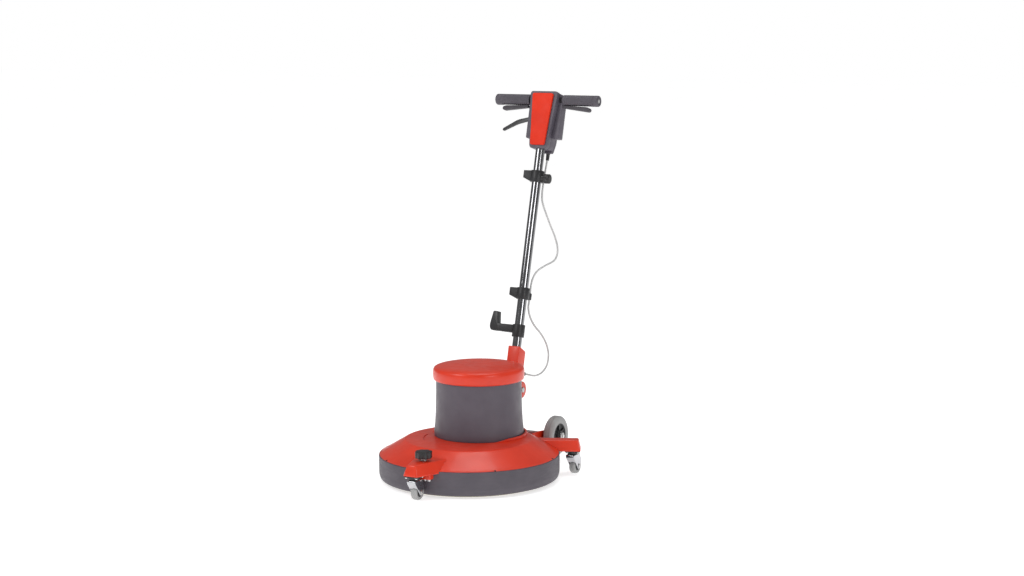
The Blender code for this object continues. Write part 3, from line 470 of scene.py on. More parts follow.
def make_deck():
    hole_r, underside, skirt_foot, skirt_inner_r = 0.0260, 0.1260, 0.0300, 0.2570
    profile = rounded([
        (hole_r, DECK_TOP), (0.1972, DECK_TOP, 0.0060), (*SLOPE_FOOT, 0.0040), (RIM_R, 0.0838, 0.0008),
        (RIM_R, RIM_Z), (SKIRT_R, RIM_Z), (SKIRT_R, skirt_foot), (skirt_inner_r, skirt_foot),
        (skirt_inner_r, 0.0900, 0.004), (0.1965, 0.1250, 0.004), (0.1930, underside), (hole_r, underside),
    ])
    deck = make_object("deck_shell", lathe(profile, ROUND))
    first, last = -174.0, -139.0
    groove = arc(0.0, 0.0, 0.1425, first, last, 16) + arc(0.0, 0.0, 0.1385, last, first, 16)
    combine(deck, prism(groove, DECK_TOP - 0.0025, DECK_TOP + 0.01), "DIFFERENCE")
    combine(deck, rod((0, MOTOR_Y, 0.11), (0, MOTOR_Y, 0.14), 0.022, 48), "DIFFERENCE")
    piece(deck, RED, "chassis", ["deck_housing"])

    inner_r, outer_r, foot = 0.1430, 0.1500, 0.1180
    collar = rounded([(inner_r, foot), (outer_r, foot), (outer_r, COLLAR_TOP, 0.0020),
                      (inner_r, COLLAR_TOP, 0.0010)])
    raised = make_object("tower_collar", lathe(collar, ROUND, at(0, TOWER_Y)))
    ramp = [(0.0200, COLLAR_TOP + 0.0005), (0.0800, 0.1292), (0.2000, 0.1160), (0.2000, 0.1500),
            (0.0200, 0.1500)]
    open_side = at(0, TOWER_Y) @ Matrix.Rotation(math.radians(COLLAR_OPEN_AT), 4, "Z")
    combine(raised, prism(ramp, -0.2000, 0.2000, "Y", open_side), "DIFFERENCE")
    piece(raised, RED, "chassis")

    ring = rounded([
        (SKIRT_R + GAP, RIM_Z - GAP), (BUMPER_R, RIM_Z - GAP, 0.0024), (BUMPER_R, 0.0250, 0.0080),
        (0.2760, 0.0120, 0.0050), (0.2690, 0.0080, 0.0020), (0.2640, 0.0080), (SKIRT_R + GAP, 0.0110),
    ], 5)
    solid("bumper", lathe(ring, ROUND), BUMPER, "chassis", ["bumper_ring"])

    dome = rounded([(0.0, -0.0020), (0.0030, -0.0020), (0.0030, 0.0014, 0.0014), (0.0, 0.0018)])
    rivets = []
    for angle in (-126.0, -44.0, 7.0, 60.0, 120.0, 173.0):
        place = Matrix.Rotation(math.radians(angle), 4, "Z") @ at(0.2752, 0.0, 0.0846)
        rivets.append(lathe(dome, SMALL, place))
    solid("rim_rivets", join(*rivets), BLACK, "chassis")


def arm_shape(sections):
    """Castor arm lofted along +X through its trapezium sections."""
    bm = bmesh.new()
    rings = []
    for x_low, x_high, half_low, half_high in sections:
        rings.append([bm.verts.new(spot) for spot in (
            (x_low, -half_low, ARM_BOTTOM), (x_low, half_low, ARM_BOTTOM),
            (x_high, half_high, ARM_TOP), (x_high, -half_high, ARM_TOP))])
    bm.faces.new(rings[0])
    bm.faces.new(list(reversed(rings[-1])))
    for here, after in zip(rings, rings[1:]):
        for i in range(4):
            j = (i + 1) % 4
            bm.faces.new((here[j], here[i], after[i], after[j]))
    return bm


def arm_frame(side):
    """Frame on a castor's swivel axis with +X out along its arm."""
    return at(*SWIVELS[side]) @ Matrix.Rotation(math.radians(ARM_ANGLES[side]), 4, "Z")


def make_arms():
    for side, sections in (("front", FRONT_SECTIONS), ("left", LEFT_SECTIONS)):
        arm = make_object(f"{side}_castor_arm", arm_shape(sections))
        soften(arm, 0.0040, 4)
        arm.data.transform(arm_frame(side))
        combine(arm, deck_envelope(), "DIFFERENCE")
        piece(arm, RED, "chassis", [f"{side}_arm"])


def make_front_bracket():
    bar = block(-0.036, 0.036, -0.2965, -0.2700, 0.0600, ARM_BOTTOM - GAP)
    bracket = make_object("front_bracket", bar)
    soften(bracket, 0.0025, 3)
    combine(bracket, deck_envelope(), "DIFFERENCE")
    piece(bracket, RED, "chassis", ["front_arm_bracket"])
    bolts = [hex_bolt(0.0046, 0.0050, 0.0150, at(x, BRACKET_BOLT_Y, 0.0592) @ DOWN)
             for x in (-0.0275, -0.0130, 0.0130, 0.0275)]
    solid("front_bracket_bolts", join(*bolts), ZINC, "chassis")


def make_height_knob():
    lobes = 8
    outline = polar(lobes * 12, lambda angle: 0.0246 + 0.0012 * math.tanh(2.5 * math.cos(lobes * angle)))
    knob = make_object("knob_grip", prism(outline, ARM_TOP + 0.0080, ARM_TOP + 0.0290, "Z", at(0, KNOB_Y)))
    soften(knob, 0.0022, 3, 50.0)
    piece(knob, BLACK, "height_knob", ["height_knob"])
    cap = rounded([(0.0, 0.0285), (0.0170, 0.0285), (0.0160, 0.0292, 0.001), (0.0, 0.0290)])
    solid("knob_cap", lathe(cap, MEDIUM, at(0, KNOB_Y, ARM_TOP)), BLACK, "height_knob")
    neck = rounded([(0.0, -0.0135), (0.0050, -0.0135), (0.0050, 0.0003), (0.0118, 0.0003, 0.001),
                    (0.0118, 0.0022, 0.001), (0.0080, 0.0022), (0.0080, 0.0085), (0.0, 0.0085)])
    solid("knob_screw", lathe(neck, MEDIUM, at(0, KNOB_Y, ARM_TOP)), ZINC, "height_knob")


def make_castor(side):
    """Plate and swivel cup on the arm, hooded fork on its swivel, tyre and hub on the fork."""
    fork_body, wheel_body = f"castor_{side}", f"castor_{side}_wheel"
    square = arm_frame(side)
    top = ARM_BOTTOM - GAP
    corners = ((-1, -1), (1, -1), (1, 1), (-1, 1))
    outline = rounded([(sx * PLATE_HALF, sy * PLATE_HALF, 0.005) for sx, sy in corners])
    plate = make_object(f"castor_{side}_top_plate", prism(outline, top - 0.0030, top, "Z", square))
    soften(plate, 0.0006, 2)
    piece(plate, BLACK, "chassis", [f"castor_{side}_plate"])
    cup = rounded([
        (0.0, top - 0.0050), (0.0063, top - 0.0050), (0.0063, top - 0.0125), (0.0155, top - 0.0125, 0.002),
        (0.0185, top - 0.0095, 0.002), (0.0185, top - 0.0032, 0.001), (0.0, top - 0.0032),
    ])
    solid(f"castor_{side}_cup", lathe(cup, MEDIUM, at(*SWIVELS[side])), BLACK, "chassis")
    places = [square @ at(sx * PLATE_BOLT, sy * PLATE_BOLT, top - 0.0038) for sx in (-1, 1) for sy in (-1, 1)]
    bolts = [hex_bolt(0.0040, 0.0032, 0.0110, place @ DOWN) for place in places]
    solid(f"castor_{side}_plate_bolts", join(*bolts), ZINC, "chassis")

    base = at(*SWIVELS[side])
    crown = top - 0.0130
    leg = [(-0.0190, crown, 0.003), (-0.0205, crown - 0.0040, 0.002), (-0.0190, crown - 0.0100, 0.004),
           (-0.0080, 0.0400, 0.006)]
    leg += arc(CASTOR_TRAIL, CASTOR_R, 0.0100, 200.0, 350.0, 14)
    leg += [(0.0320, 0.0360, 0.006), (0.0330, 0.0440, 0.006), (0.0250, crown - 0.0060, 0.006),
            (0.0210, crown, 0.003)]
    fork = make_object(f"castor_{side}_hood", prism(rounded(leg), -FORK_HALF, FORK_HALF, "X"))
    soften(fork, 0.0030, 4, 50.0)
    inside = FORK_HALF - 0.0025
    room_r = 0.0262
    room = arc(CASTOR_TRAIL, CASTOR_R, room_r, 0.0, 180.0, 32)
    room += [(CASTOR_TRAIL - room_r, 0.0), (CASTOR_TRAIL + room_r, 0.0)]
    combine(fork, prism(room, -inside, inside, "X"), "DIFFERENCE")
    combine(fork, rod((0, 0, crown - 0.0030), (0, 0, crown + 0.0075), 0.0060, MEDIUM), "UNION")
    fork.data.transform(base)
    piece(fork, CHROME, fork_body, [f"castor_{side}_fork"], 45.0)
    hub_place = base @ at(0, CASTOR_TRAIL, CASTOR_R)
    head_x = FORK_HALF + 0.0008
    bolt = hex_bolt(0.0055, 0.0020, 0.0240, hub_place @ at(head_x, 0, 0) @ ALONG_X)
    turned = Matrix.Rotation(math.pi, 4, "Z")
    nut = hex_bolt(0.0055, 0.0020, 0.0010, hub_place @ at(-head_x, 0, 0) @ turned @ ALONG_X)
    solid(f"castor_{side}_axle", join(bolt, nut), ZINC, fork_body)

    spin = hub_place @ ALONG_X
    tyre = rounded(both_ends([(0.0150, -0.0094), (0.0215, -0.0104, 0.002), (CASTOR_R, -0.0072, 0.003)]))
    solid(f"castor_{side}_tyre", lathe(tyre, MEDIUM, spin), TYRE_GREY, wheel_body, [f"castor_{side}_wheel"])
    hub = rounded(both_ends([(0.0034, -0.0112), (0.0080, -0.0112, 0.001), (0.0095, -0.0080, 0.001),
                             (0.0148, -0.0084)]))
    solid(f"castor_{side}_hub", lathe(hub, MEDIUM, spin), BLACK, wheel_body)


def make_transport_wheels():
    outline = [(0.2150, 0.1120), (0.2620, 0.1120), (0.3360, 0.1040)]
    outline += arc(AXLE_Y, AXLE_Z, 0.0180, 40.0, -90.0, 16)
    outline += [(0.2900, 0.0700), (0.2700, 0.0560), (0.2150, 0.0560)]
    for side, name in ((1, "left"), (-1, "right")):
        low, high = sorted((side * 0.1040, side * 0.1100))
        plate = make_object(f"wheel_plate_{name}", prism(outline, low, high, "X"))
        combine(plate, rod((-0.2, AXLE_Y, AXLE_Z), (0.2, AXLE_Y, AXLE_Z), 0.0083, MEDIUM), "DIFFERENCE")
        combine(plate, deck_envelope(), "DIFFERENCE")
        soften(plate, 0.0012, 3)
        piece(plate, RED, "chassis", [f"wheel_bracket_{name}"])

        body = f"transport_wheel_{name}"
        middle = at(side * TYRE_X, AXLE_Y, AXLE_Z) @ ALONG_X
        groove_r = TYRE_R - 0.0012
        tyre = rounded(both_ends([
            (0.0400, -0.0150), (0.0470, -0.0160, 0.002), (0.0570, -0.0166, 0.006), (TYRE_R, -0.0100, 0.006),
            (TYRE_R, -0.0062), (groove_r, -0.0056), (groove_r, -0.0044), (TYRE_R, -0.0038),
        ]))
        solid(f"wheel_tyre_{name}", lathe(tyre, ROUND, middle), TYRE_GREY, body, [f"transport_tyre_{name}"])
        hub = rounded(both_ends([
            (0.0083, -0.0185), (0.0170, -0.0185, 0.002), (0.0190, -0.0080, 0.003), (0.0345, -0.0080, 0.003),
            (0.0375, -0.0145, 0.001), (0.0397, -0.0150),
        ]))
        disc = make_object(f"wheel_hub_{name}", lathe(hub, MEDIUM, middle))
        turns = [middle @ Matrix.Rotation(math.tau * i / 6, 4, "Z") for i in range(6)]
        ribs = [block(0.0160, 0.0360, -0.0016, 0.0016, -0.0130, 0.0130, turn) for turn in turns]
        combine(disc, join(*ribs), "UNION")
        piece(disc, BLACK, body, [f"transport_hub_{name}"])

    axle = rounded(both_ends([
        (0.0, -0.1620), (0.0060, -0.1620, 0.001), (0.0060, -0.1590), (0.0120, -0.1580, 0.001),
        (0.0120, -0.1525), (0.0080, -0.1525),
    ]))
    across = at(0, AXLE_Y, AXLE_Z) @ ALONG_X
    solid("wheel_axle", lathe(axle, MEDIUM, across), ZINC, "chassis", ["transport_axle"])


# ---------------------------------------------------------------- tower and handle bracket

def make_tower():
    shroud = rounded([
        (0.1300, DECK_TOP + GAP), (0.1400, DECK_TOP + GAP, 0.0015), (0.1398, 0.1430),
        (0.1388, 0.1550, 0.0080), (0.1366, 0.1740, 0.0150), (0.1345, 0.2150, 0.0300),
        (SHROUD_R, 0.2600, 0.0200), (SHROUD_R, SHROUD_TOP, 0.0010), (0.1305, SHROUD_TOP),
        (0.1305, 0.2000), (0.1300, 0.1600),
    ], 6)
    tower = make_object("tower_shell", lathe(shroud, ROUND, at(0, TOWER_Y)))
    holes = [rod((x, 0.15, z), (x, 0.23, z), 0.0034) for x, z in FOOT_BOLTS]
    combine(tower, join(*holes), "DIFFERENCE")
    piece(tower, TOWER_GREY, "chassis", ["motor_shroud"])
    lid = rounded([
        (0.0, 0.3525), (0.0700, 0.3517, 0.02), (0.1180, 0.3492, 0.02), (0.1370, 0.3450, 0.010),
        (0.1420, 0.3380, 0.006), (0.1428, 0.3240, 0.006), (0.1415, 0.3090, 0.003), (0.1392, 0.3055, 0.0015),
        (SHROUD_R + GAP, 0.3055), (SHROUD_R + GAP, SHROUD_TOP + GAP), (0.1290, SHROUD_TOP + GAP),
        (0.1200, 0.3440), (0.0, 0.3490),
    ], 6)
    solid("tower_lid", lathe(lid, ROUND, at(0, TOWER_Y)), RED, "chassis", ["motor_lid"])


def make_bracket():
    foot = make_object("handle_foot", block(-0.042, 0.042, 0.170, 0.2140, 0.205, 0.285))
    soften(foot, 0.0030, 3)
    combine(foot, rod((0, TOWER_Y, 0.15), (0, TOWER_Y, 0.30), SHROUD_R + 0.0019, ROUND), "DIFFERENCE")
    piece(foot, RED, "chassis", ["handle_bracket"])
    for side, name in ((1, "left"), (-1, "right")):
        low, high = sorted((side * 0.0123, side * 0.0260))
        outline = [(0.2135, 0.2740), (0.2135, 0.2120)] + arc(PIVOT_Y, PIVOT_Z, 0.0270, -95.0, 80.0, 24)
        cheek = make_object(f"bracket_cheek_{name}", prism(outline, low, high, "X"))
        hole = rod((-0.05, PIVOT_Y, PIVOT_Z), (0.05, PIVOT_Y, PIVOT_Z), PIN_HOLE_R, MEDIUM)
        combine(cheek, hole, "DIFFERENCE")
        soften(cheek, 0.0018, 3)
        piece(cheek, RED, "chassis")
    bolts = [hex_bolt(0.0052, 0.0040, 0.0330, at(x, 0.2148, z) @ ALONG_Y) for x, z in FOOT_BOLTS]
    solid("bracket_bolts", join(*bolts), ZINC, "chassis")
    pin = rounded(both_ends([(0.0, -0.0300), (0.0085, -0.0300, 0.001), (0.0085, -0.0263), (0.0060, -0.0263)]))
    across = at(0, PIVOT_Y, PIVOT_Z) @ ALONG_X
    solid("pivot_bolt", lathe(pin, MEDIUM, across), STEEL, "chassis", ["pivot_pin"])


def make_pad():
    driver = rounded([
        (0.0, 0.0245), (0.2400, 0.0245, 0.002), (0.2400, 0.0320, 0.002), (0.2280, 0.0330),
        (0.2240, 0.0360, 0.002), (0.0500, 0.0360, 0.003), (0.0400, 0.0470, 0.002), (0.0, 0.0477),
    ])
    solid("pad_holder", lathe(driver, ROUND), DRIVER_GREY, "spindle", ["pad_driver"])
    pad = rounded([
        (0.0, 0.0), (0.2450, 0.0, 0.003), (0.2490, 0.0060, 0.004), (0.2490, 0.0182, 0.004),
        (0.2450, 0.0242, 0.002), (0.0, 0.0242),
    ])
    solid("floor_pad", lathe(pad, ROUND), PAD, "spindle", ["polishing_pad"])


# ---------------------------------------------------------------- handle

def make_stem():
    pivot = STEM.inverted() @ Vector((0, PIVOT_Y, PIVOT_Z))
    shape = rounded([(-0.018, 0.046, 0.004), (0.028, 0.046, 0.004), (0.028, 0.129, 0.004),
                     (-0.018, 0.142, 0.004)])
    socket = make_object("socket", prism(shape, -0.020, 0.020, "X"))
    soften(socket, 0.0022, 3)
    tongue = arc(pivot.y, pivot.z, 0.0200, 180.0, 360.0, 24) + [(0.0272, 0.060), (-0.004, 0.060)]
    combine(socket, prism(tongue, -0.0120, 0.0120, "X"), "UNION")
    combine(socket, tube_bore(0.075, 0.160), "DIFFERENCE")
    pin_hole = rod((-0.03, pivot.y, pivot.z), (0.03, pivot.y, pivot.z), PIN_HOLE_R, MEDIUM)
    combine(socket, pin_hole, "DIFFERENCE")
    combine(socket, rod((0, LOCK_ROD_N, 0.052), (0, LOCK_ROD_N, 0.080), 0.0036), "DIFFERENCE")
    socket.data.transform(STEM)
    piece(socket, RED, "handle", ["stem_socket"])
    gland = rounded([(CABLE_BORE_R, 0.0190), (0.0080, 0.0190), (0.0080, 0.0225, 0.001), (0.0062, 0.0240),
                     (0.0052, 0.0330, 0.001), (CABLE_BORE_R, 0.0330)])
    solid("socket_gland", in_stem(lathe(gland, MEDIUM, at(0, *SOCKET_GLAND) @ ALONG_X)), BLACK, "handle")

    foot, head, bore_r = 0.0755, 0.8400, 0.0130
    tube = [(bore_r, foot), (TUBE_R, foot), (TUBE_R, head), (bore_r, head)]
    solid("chrome_tube", in_stem(lathe(tube, MEDIUM)), TUBE_CHROME, "handle", ["stem_tube"])


def clamp(name, centre, collar_r, half, reach, taper, nodes, extra=None):
    """Split collar round the tube with a tapered block on its right-hand side."""
    collar = make_object(name, rod((0, 0, centre - half), (0, 0, centre + half), collar_r, MEDIUM))
    top, bottom, inner = centre + half - 0.001, centre - half + 0.001, -0.006
    jaw = rounded([(-reach, top, 0.002), (inner, top), (inner, bottom), (-0.0170, bottom, 0.003),
                   (-reach, centre - half + taper, 0.002)])
    combine(collar, prism(jaw, -0.015, 0.015, "Y"), "UNION")
    if extra:
        combine(collar, extra, "UNION")
    low, high = centre - 0.05, centre + 0.05
    combine(collar, tube_bore(low, high), "DIFFERENCE")
    combine(collar, block(-reach - 0.01, -0.0120, -0.0007, 0.0007, low, high), "DIFFERENCE")
    soften(collar, 0.0010, 2)
    collar.data.transform(STEM)
    return piece(collar, BLACK, "handle", nodes)


def make_clamps():
    boss = rod((0.010, 0, CLAMP_SCREW_S), (0.0270, 0, CLAMP_SCREW_S), 0.0110, MEDIUM)
    clamp("tube_clamp_upper", 0.6960, 0.0215, 0.0185, 0.0430, 0.0120, ["upper_clamp"], boss)
    screw_axis = STEM @ at(0, 0, CLAMP_SCREW_S) @ ALONG_X
    ribs = 24
    knob = polar(ribs * 4, lambda angle: 0.0150 + 0.0005 * math.cos(ribs * angle))
    grip = make_object("clamp_knob_grip", prism(knob, 0.0277, 0.0470, "Z", screw_axis))
    soften(grip, 0.0016, 3, 60.0)
    piece(grip, BLACK, "clamp_knob", ["clamp_knob"])
    face = rounded([(0.0, 0.0465), (0.0110, 0.0465), (0.0105, 0.0480, 0.001), (0.0, 0.0478)])
    solid("clamp_knob_cap", lathe(face, MEDIUM, screw_axis), BLACK, "clamp_knob")
    screw = [(0.0, 0.0162), (0.0040, 0.0162), (0.0040, 0.0280), (0.0, 0.0280)]
    solid("clamp_knob_screw", lathe(screw, SMALL, screw_axis), ZINC, "clamp_knob")

    tab = block(0.0060, 0.0145, 0.0120, 0.0262, 0.2985, 0.3165)
    clamp("tube_clamp_middle", 0.3130, 0.0205, 0.0185, 0.0420, 0.0110, ["middle_clamp"], tab)
    clip = rounded([(0.0037, 0.2970), (0.0060, 0.2970, 0.0006), (0.0060, 0.3180, 0.0006), (0.0037, 0.3180)])
    solid("cable_clip", in_stem(lathe(clip, MEDIUM, at(*CLIP_PLACE))), BLACK, "handle")


def make_cable_hook():
    """Ring round the tube with a tray on the right whose end turns up."""
    hook = make_object("cable_hook_body", rod((0, 0, HOOK_S - 0.020), (0, 0, HOOK_S + 0.020), 0.0200, MEDIUM))
    arm = rounded([
        (-0.0720, 0.1870, 0.002), (-0.0060, 0.1840), (-0.0060, 0.2100), (-0.0740, 0.2110, 0.004),
        (-0.0780, 0.2500, 0.003), (-0.0930, 0.2500, 0.003), (-0.1020, 0.2020, 0.010),
        (-0.0960, 0.1870, 0.008),
    ])
    combine(hook, prism(arm, -0.0120, 0.0120, "Y"), "UNION")
    combine(hook, tube_bore(0.10, 0.30), "DIFFERENCE")
    soften(hook, 0.0018, 3)
    hook.data.transform(STEM)
    piece(hook, BLACK, "cable_hook", ["cable_hook"])


HEAD_FOOT = [(0.0270, HEAD_BOTTOM, 0.005), (0.0320, HEAD_BOTTOM + 0.008, 0.005)]


def hollow_head(shell):
    """Cut the room for lever and switch, the tube's bore and the handlebar's hole out of half the head."""
    room = [(-0.0300, -0.0180), (0.0300, -0.0180), (0.0300, 0.0040), (0.0540, 0.0040),
            (0.0540, 0.0260), (-0.0540, 0.0260), (-0.0540, 0.0040), (-0.0300, 0.0040)]
    combine(shell, prism(room, ROOM_LOW, ROOM_HIGH), "DIFFERENCE")
    combine(shell, tube_bore(0.70, ROOM_LOW), "DIFFERENCE")
    combine(shell, rod((-0.08, GRIP_N, GRIP_S), (0.08, GRIP_N, GRIP_S), 0.0128, MEDIUM), "DIFFERENCE")


def make_head_front():
    outline = HEAD_FOOT + [(0.0500, HEAD_TOP - 0.010, 0.006), (0.0460, HEAD_TOP, 0.006)]
    front = make_object("head_front", prism(rounded(both_sides(outline)), -0.0220, 0.0, "Y"))
    soften(front, 0.0030, 4)
    hollow_head(front)
    front.data.transform(STEM)
    piece(front, HEAD_GREY, "handle", ["head_front_shell"])


def make_head_rear():
    """Rear half of the head with its broad shoulders and the chamber that stands out behind."""
    outline = HEAD_FOOT + [(0.0350, 0.8230, 0.003), (0.0600, 0.8230, 0.004), (0.0600, 0.9650, 0.006),
                           (0.0460, 0.9710, 0.004)]
    rear = make_object("head_rear", prism(rounded(both_sides(outline)), GAP, 0.0300, "Y"))
    soften(rear, 0.0030, 4)
    hump = rounded([(0.0260, 0.7780, 0.003), (0.0400, 0.7780, 0.006), (0.0550, 0.8140, 0.010),
                    (0.0550, 0.8900, 0.006), (0.0500, 0.9000, 0.003), (0.0260, 0.9000)])
    chamber = make_object("rear_chamber", prism(hump, -0.0280, 0.0280, "X"))
    soften(chamber, 0.0022, 3)
    combine(rear, taken_back(chamber), "UNION")
    hollow_head(rear)
    combine(rear, block(-0.0700, -0.0500, 0.0080, 0.0180, 0.8720, 0.9020), "DIFFERENCE")
    combine(rear, rod((*HEAD_GLAND, 0.760), (*HEAD_GLAND, 0.792), CABLE_BORE_R), "DIFFERENCE")
    grooves = [block(side * x - 0.0008, side * x + 0.0008, 0.0285, 0.0400, 0.8300, 0.9480)
               for side in (-1, 1) for x in (0.040, 0.047, 0.054)]
    combine(rear, join(*grooves), "DIFFERENCE")
    rear.data.transform(STEM)
    piece(rear, HEAD_GREY, "handle", ["head_rear_shell"])


def make_head_fittings():
    shield = rounded(both_sides([(0.0220, 0.7960, 0.004), (0.0255, 0.8000, 0.004), (0.0370, 0.9620, 0.004),
                                 (0.0340, 0.9660, 0.004)]))
    cover = make_object("head_shield", prism(shield, -0.0300, -0.0220 - GAP, "Y"))
    soften(cover, 0.0035, 4, 60.0)
    cover.data.transform(STEM)
    piece(cover, COVER_RED, "handle", ["head_cover"])

    switch = block(-0.0280, 0.0280, 0.0140, 0.0257, 0.8900, 0.9200, STEM)
    solid("switch_housing", switch, BLACK, "handle", ["switch_block"], 0.001)
    head = rounded([(0.0, -0.0100), (0.0036, -0.0100), (0.0036, 0.0008, 0.0008), (0.0, 0.0010)])
    screws = [lathe(head, SMALL, STEM @ at(x, 0.0544, 0.886) @ ALONG_Y) for x in (-0.022, 0.022)]
    solid("head_screws", join(*screws), ZINC, "handle")


def make_grips():
    bar_centre = at(0, GRIP_N, GRIP_S)
    bar_end, bar_r, bar_bore_r = 0.1780, 0.0125, 0.0105
    bar = [(bar_bore_r, -bar_end), (bar_r, -bar_end), (bar_r, bar_end), (bar_bore_r, bar_end)]
    tube = in_stem(lathe(bar, MEDIUM, bar_centre @ ALONG_X))
    solid("handlebar_tube", tube, DARK_STEEL, "handle", ["handlebar"])
    for side, name, turn in ((1, "left", ALONG_X), (-1, "right", AGAINST_X)):
        outwards = bar_centre @ turn
        ridge_r, valley_r, hole_r = 0.0181, 0.0175, 0.0128
        sleeve = [(hole_r, 0.0605), (0.0174, 0.0605), (0.0180, 0.0615)]
        for i in range(14):
            start = 0.0680 + 0.0076 * i
            sleeve += [(ridge_r, start), (valley_r, start + 0.0006), (valley_r, start + 0.0014),
                       (ridge_r, start + 0.0020)]
        sleeve += rounded([(0.0182, 0.1760), (0.0182, 0.1868, 0.006), (0.0095, 0.1870, 0.001),
                           (0.0090, 0.1850), (0.0, 0.1848), (0.0, 0.1784), (hole_r, 0.1784)])
        grip = make_object(f"hand_grip_{name}", lathe(sleeve, MEDIUM, outwards))
        low, high = sorted((side * 0.0640, side * 0.1640))
        slot = block(low, high, GRIP_N - 0.0085, GRIP_N + 0.0085, GRIP_S - 0.03, GRIP_S - 0.0132)
        combine(grip, slot, "DIFFERENCE")
        grip.data.transform(STEM)
        piece(grip, GRIP_GREY, "handle", [f"grip_{name}"], 50.0)
        plug = rounded([(0.0, 0.1852), (0.0070, 0.1852), (0.0065, 0.1866, 0.001), (0.0, 0.1868)])
        solid(f"grip_plug_{name}", in_stem(lathe(plug, SMALL, outwards)), TYRE_GREY, "handle")
        wedge = [(0.0660, -0.0180, 0.001), (0.1480, -0.0210, 0.004), (0.1585, -0.0245, 0.004),
                 (0.1600, -0.0330, 0.004), (0.1540, -0.0365, 0.003), (0.1400, -0.0350, 0.004),
                 (0.0660, -0.0260, 0.001)]
        outline = rounded([(side * x, GRIP_S + s, r) for x, s, r in wedge])
        trigger = make_object(f"trigger_lever_{name}", prism(outline, GRIP_N - 0.0080, GRIP_N + 0.0080, "Y"))
        soften(trigger, 0.0022, 3)
        trigger.data.transform(STEM)
        piece(trigger, TRIGGER_GREY, f"trigger_{name}", [f"trigger_{name}"])


def make_lever():
    line = rounded([
        (-0.0440, 0.8790), (-0.0640, 0.8795, 0.004), (-0.1000, 0.8700, 0.012), (-0.1500, 0.8455, 0.003),
        (-0.1540, 0.8480, 0.003), (-0.1530, 0.8540, 0.003), (-0.1020, 0.8840, 0.012),
        (-0.0640, 0.8925, 0.004), (-0.0440, 0.8930),
    ])
    lever = make_object("tilt_release", prism(line, 0.0090, 0.0170, "Y"))
    soften(lever, 0.0020, 3)
    lever.data.transform(STEM)
    piece(lever, BLACK, "tilt_lever", ["tilt_lever"])


# Route of the control cable in stem coordinates, from the gland under the head to the one on the socket
CABLE = [
    (0.0110, 0.0355, 0.7880), (0.0110, 0.0355, 0.7660), (0.0105, 0.0325, 0.7300), (0.0098, 0.0300, 0.6850),
    (0.0099, 0.0302, 0.6420), (0.0128, 0.0390, 0.6120), (0.0250, 0.0765, 0.5570), (0.0358, 0.1095, 0.5130),
    (0.0412, 0.1255, 0.4750), (0.0385, 0.1165, 0.4420), (0.0264, 0.0804, 0.4180), (0.0165, 0.0502, 0.3960),
    (0.0115, 0.0350, 0.3720), (0.0098, 0.0299, 0.3480), (0.0098, 0.0299, 0.3240), (0.0098, 0.0299, 0.2920),
    (0.0098, 0.0299, 0.2710), (0.0136, 0.0414, 0.2440),
    (0.0190, 0.0680, 0.2190), (0.0270, 0.1070, 0.1960), (0.0330, 0.1400, 0.1680), (0.0385, 0.1540, 0.1340),
    (0.0425, 0.1430, 0.0990), (0.0450, 0.1110, 0.0730), (0.0455, 0.0770, 0.0600), (0.0450, 0.0480, 0.0560),
    (0.0410, 0.0280, 0.0565), (0.0330, 0.0200, 0.0570), (0.0255, 0.0200, 0.0570),
]
CABLE_SPAN = 6                    # short straight lengths between two points of the route


def make_cable():
    """Grey control cable: a smooth line through the route, as a curve with a round section."""
    knots = [Vector(point) for point in CABLE]
    last = len(knots) - 1
    line = []
    for i in range(last):
        a, b, c, d = knots[max(i - 1, 0)], knots[i], knots[i + 1], knots[min(i + 2, last)]
        for k in range(CABLE_SPAN):
            t = k / CABLE_SPAN
            line.append(0.5 * (2 * b + (c - a) * t + (2 * a - 5 * b + 4 * c - d) * t * t
                               + (3 * b - a - 3 * c + d) * t ** 3))
    line = [STEM @ point for point in line + [knots[-1]]]
    curve = bpy.data.curves.new("signal_cable", "CURVE")
    curve.dimensions = "3D"
    curve.bevel_depth = CABLE_R
    curve.bevel_resolution = 6
    curve.use_fill_caps = True
    spline = curve.splines.new("POLY")
    spline.points.add(len(line) - 1)
    for point, where in zip(spline.points, line):
        point.co = (*where, 1.0)
    curve.materials.append(CABLE_GREY)
    cable = bpy.data.objects.new("signal_cable", curve)
    bpy.context.scene.collection.objects.link(cable)
    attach(cable, "handle")
    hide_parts("control_cable")
    sleeve = rounded([(CABLE_BORE_R, 0.7560), (0.0052, 0.7560, 0.001), (0.0062, 0.7760), (0.0075, 0.7780),
                      (CABLE_BORE_R, 0.7780)])
    solid("head_gland", in_stem(lathe(sleeve, MEDIUM, at(*HEAD_GLAND))), BLACK, "handle")


# ---------------------------------------------------------------- inner solids shown as they are

KEPT = {
    "motor_case": ALUMINIUM, "stator": COPPER, "motor_rotor": STEEL, "cooling_fan": BLACK,
    "bearing_housing": IRON, "spindle_bearing_lower": STEEL, "spindle_bearing_upper": STEEL,
    "motor_bearing_lower": STEEL, "motor_bearing_upper": STEEL, "spindle_shaft": STEEL,
    "spindle_pulley": IRON, "motor_pulley": ALUMINIUM, "drive_belt": BELT, "lock_rod": STEEL,
}


def dress_kept_nodes():
    for name, material in KEPT.items():
        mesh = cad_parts[name].data
        mesh.materials.clear()
        mesh.materials.append(material)


# ---------------------------------------------------------------- stage, lights and camera

CAMERA_AZIMUTH = math.radians(28.75)
CAMERA_ELEVATION = math.radians(7.9)
CAMERA_ROLL = math.radians(-0.25)
CAMERA_DISTANCE = 6.5
CAMERA_LENS = 72.3
CAMERA_AIM = Vector((0.025, 0.234, 0.570))

# Strength of the white surroundings as light and as reflections on the machine, and the floor's own glow
WORLD_LIGHT = 0.50
WORLD_GLOSS = 0.24
FLOOR_GLOW = 0.58
WHITE = (1.0, 1.0, 1.0, 1.0)


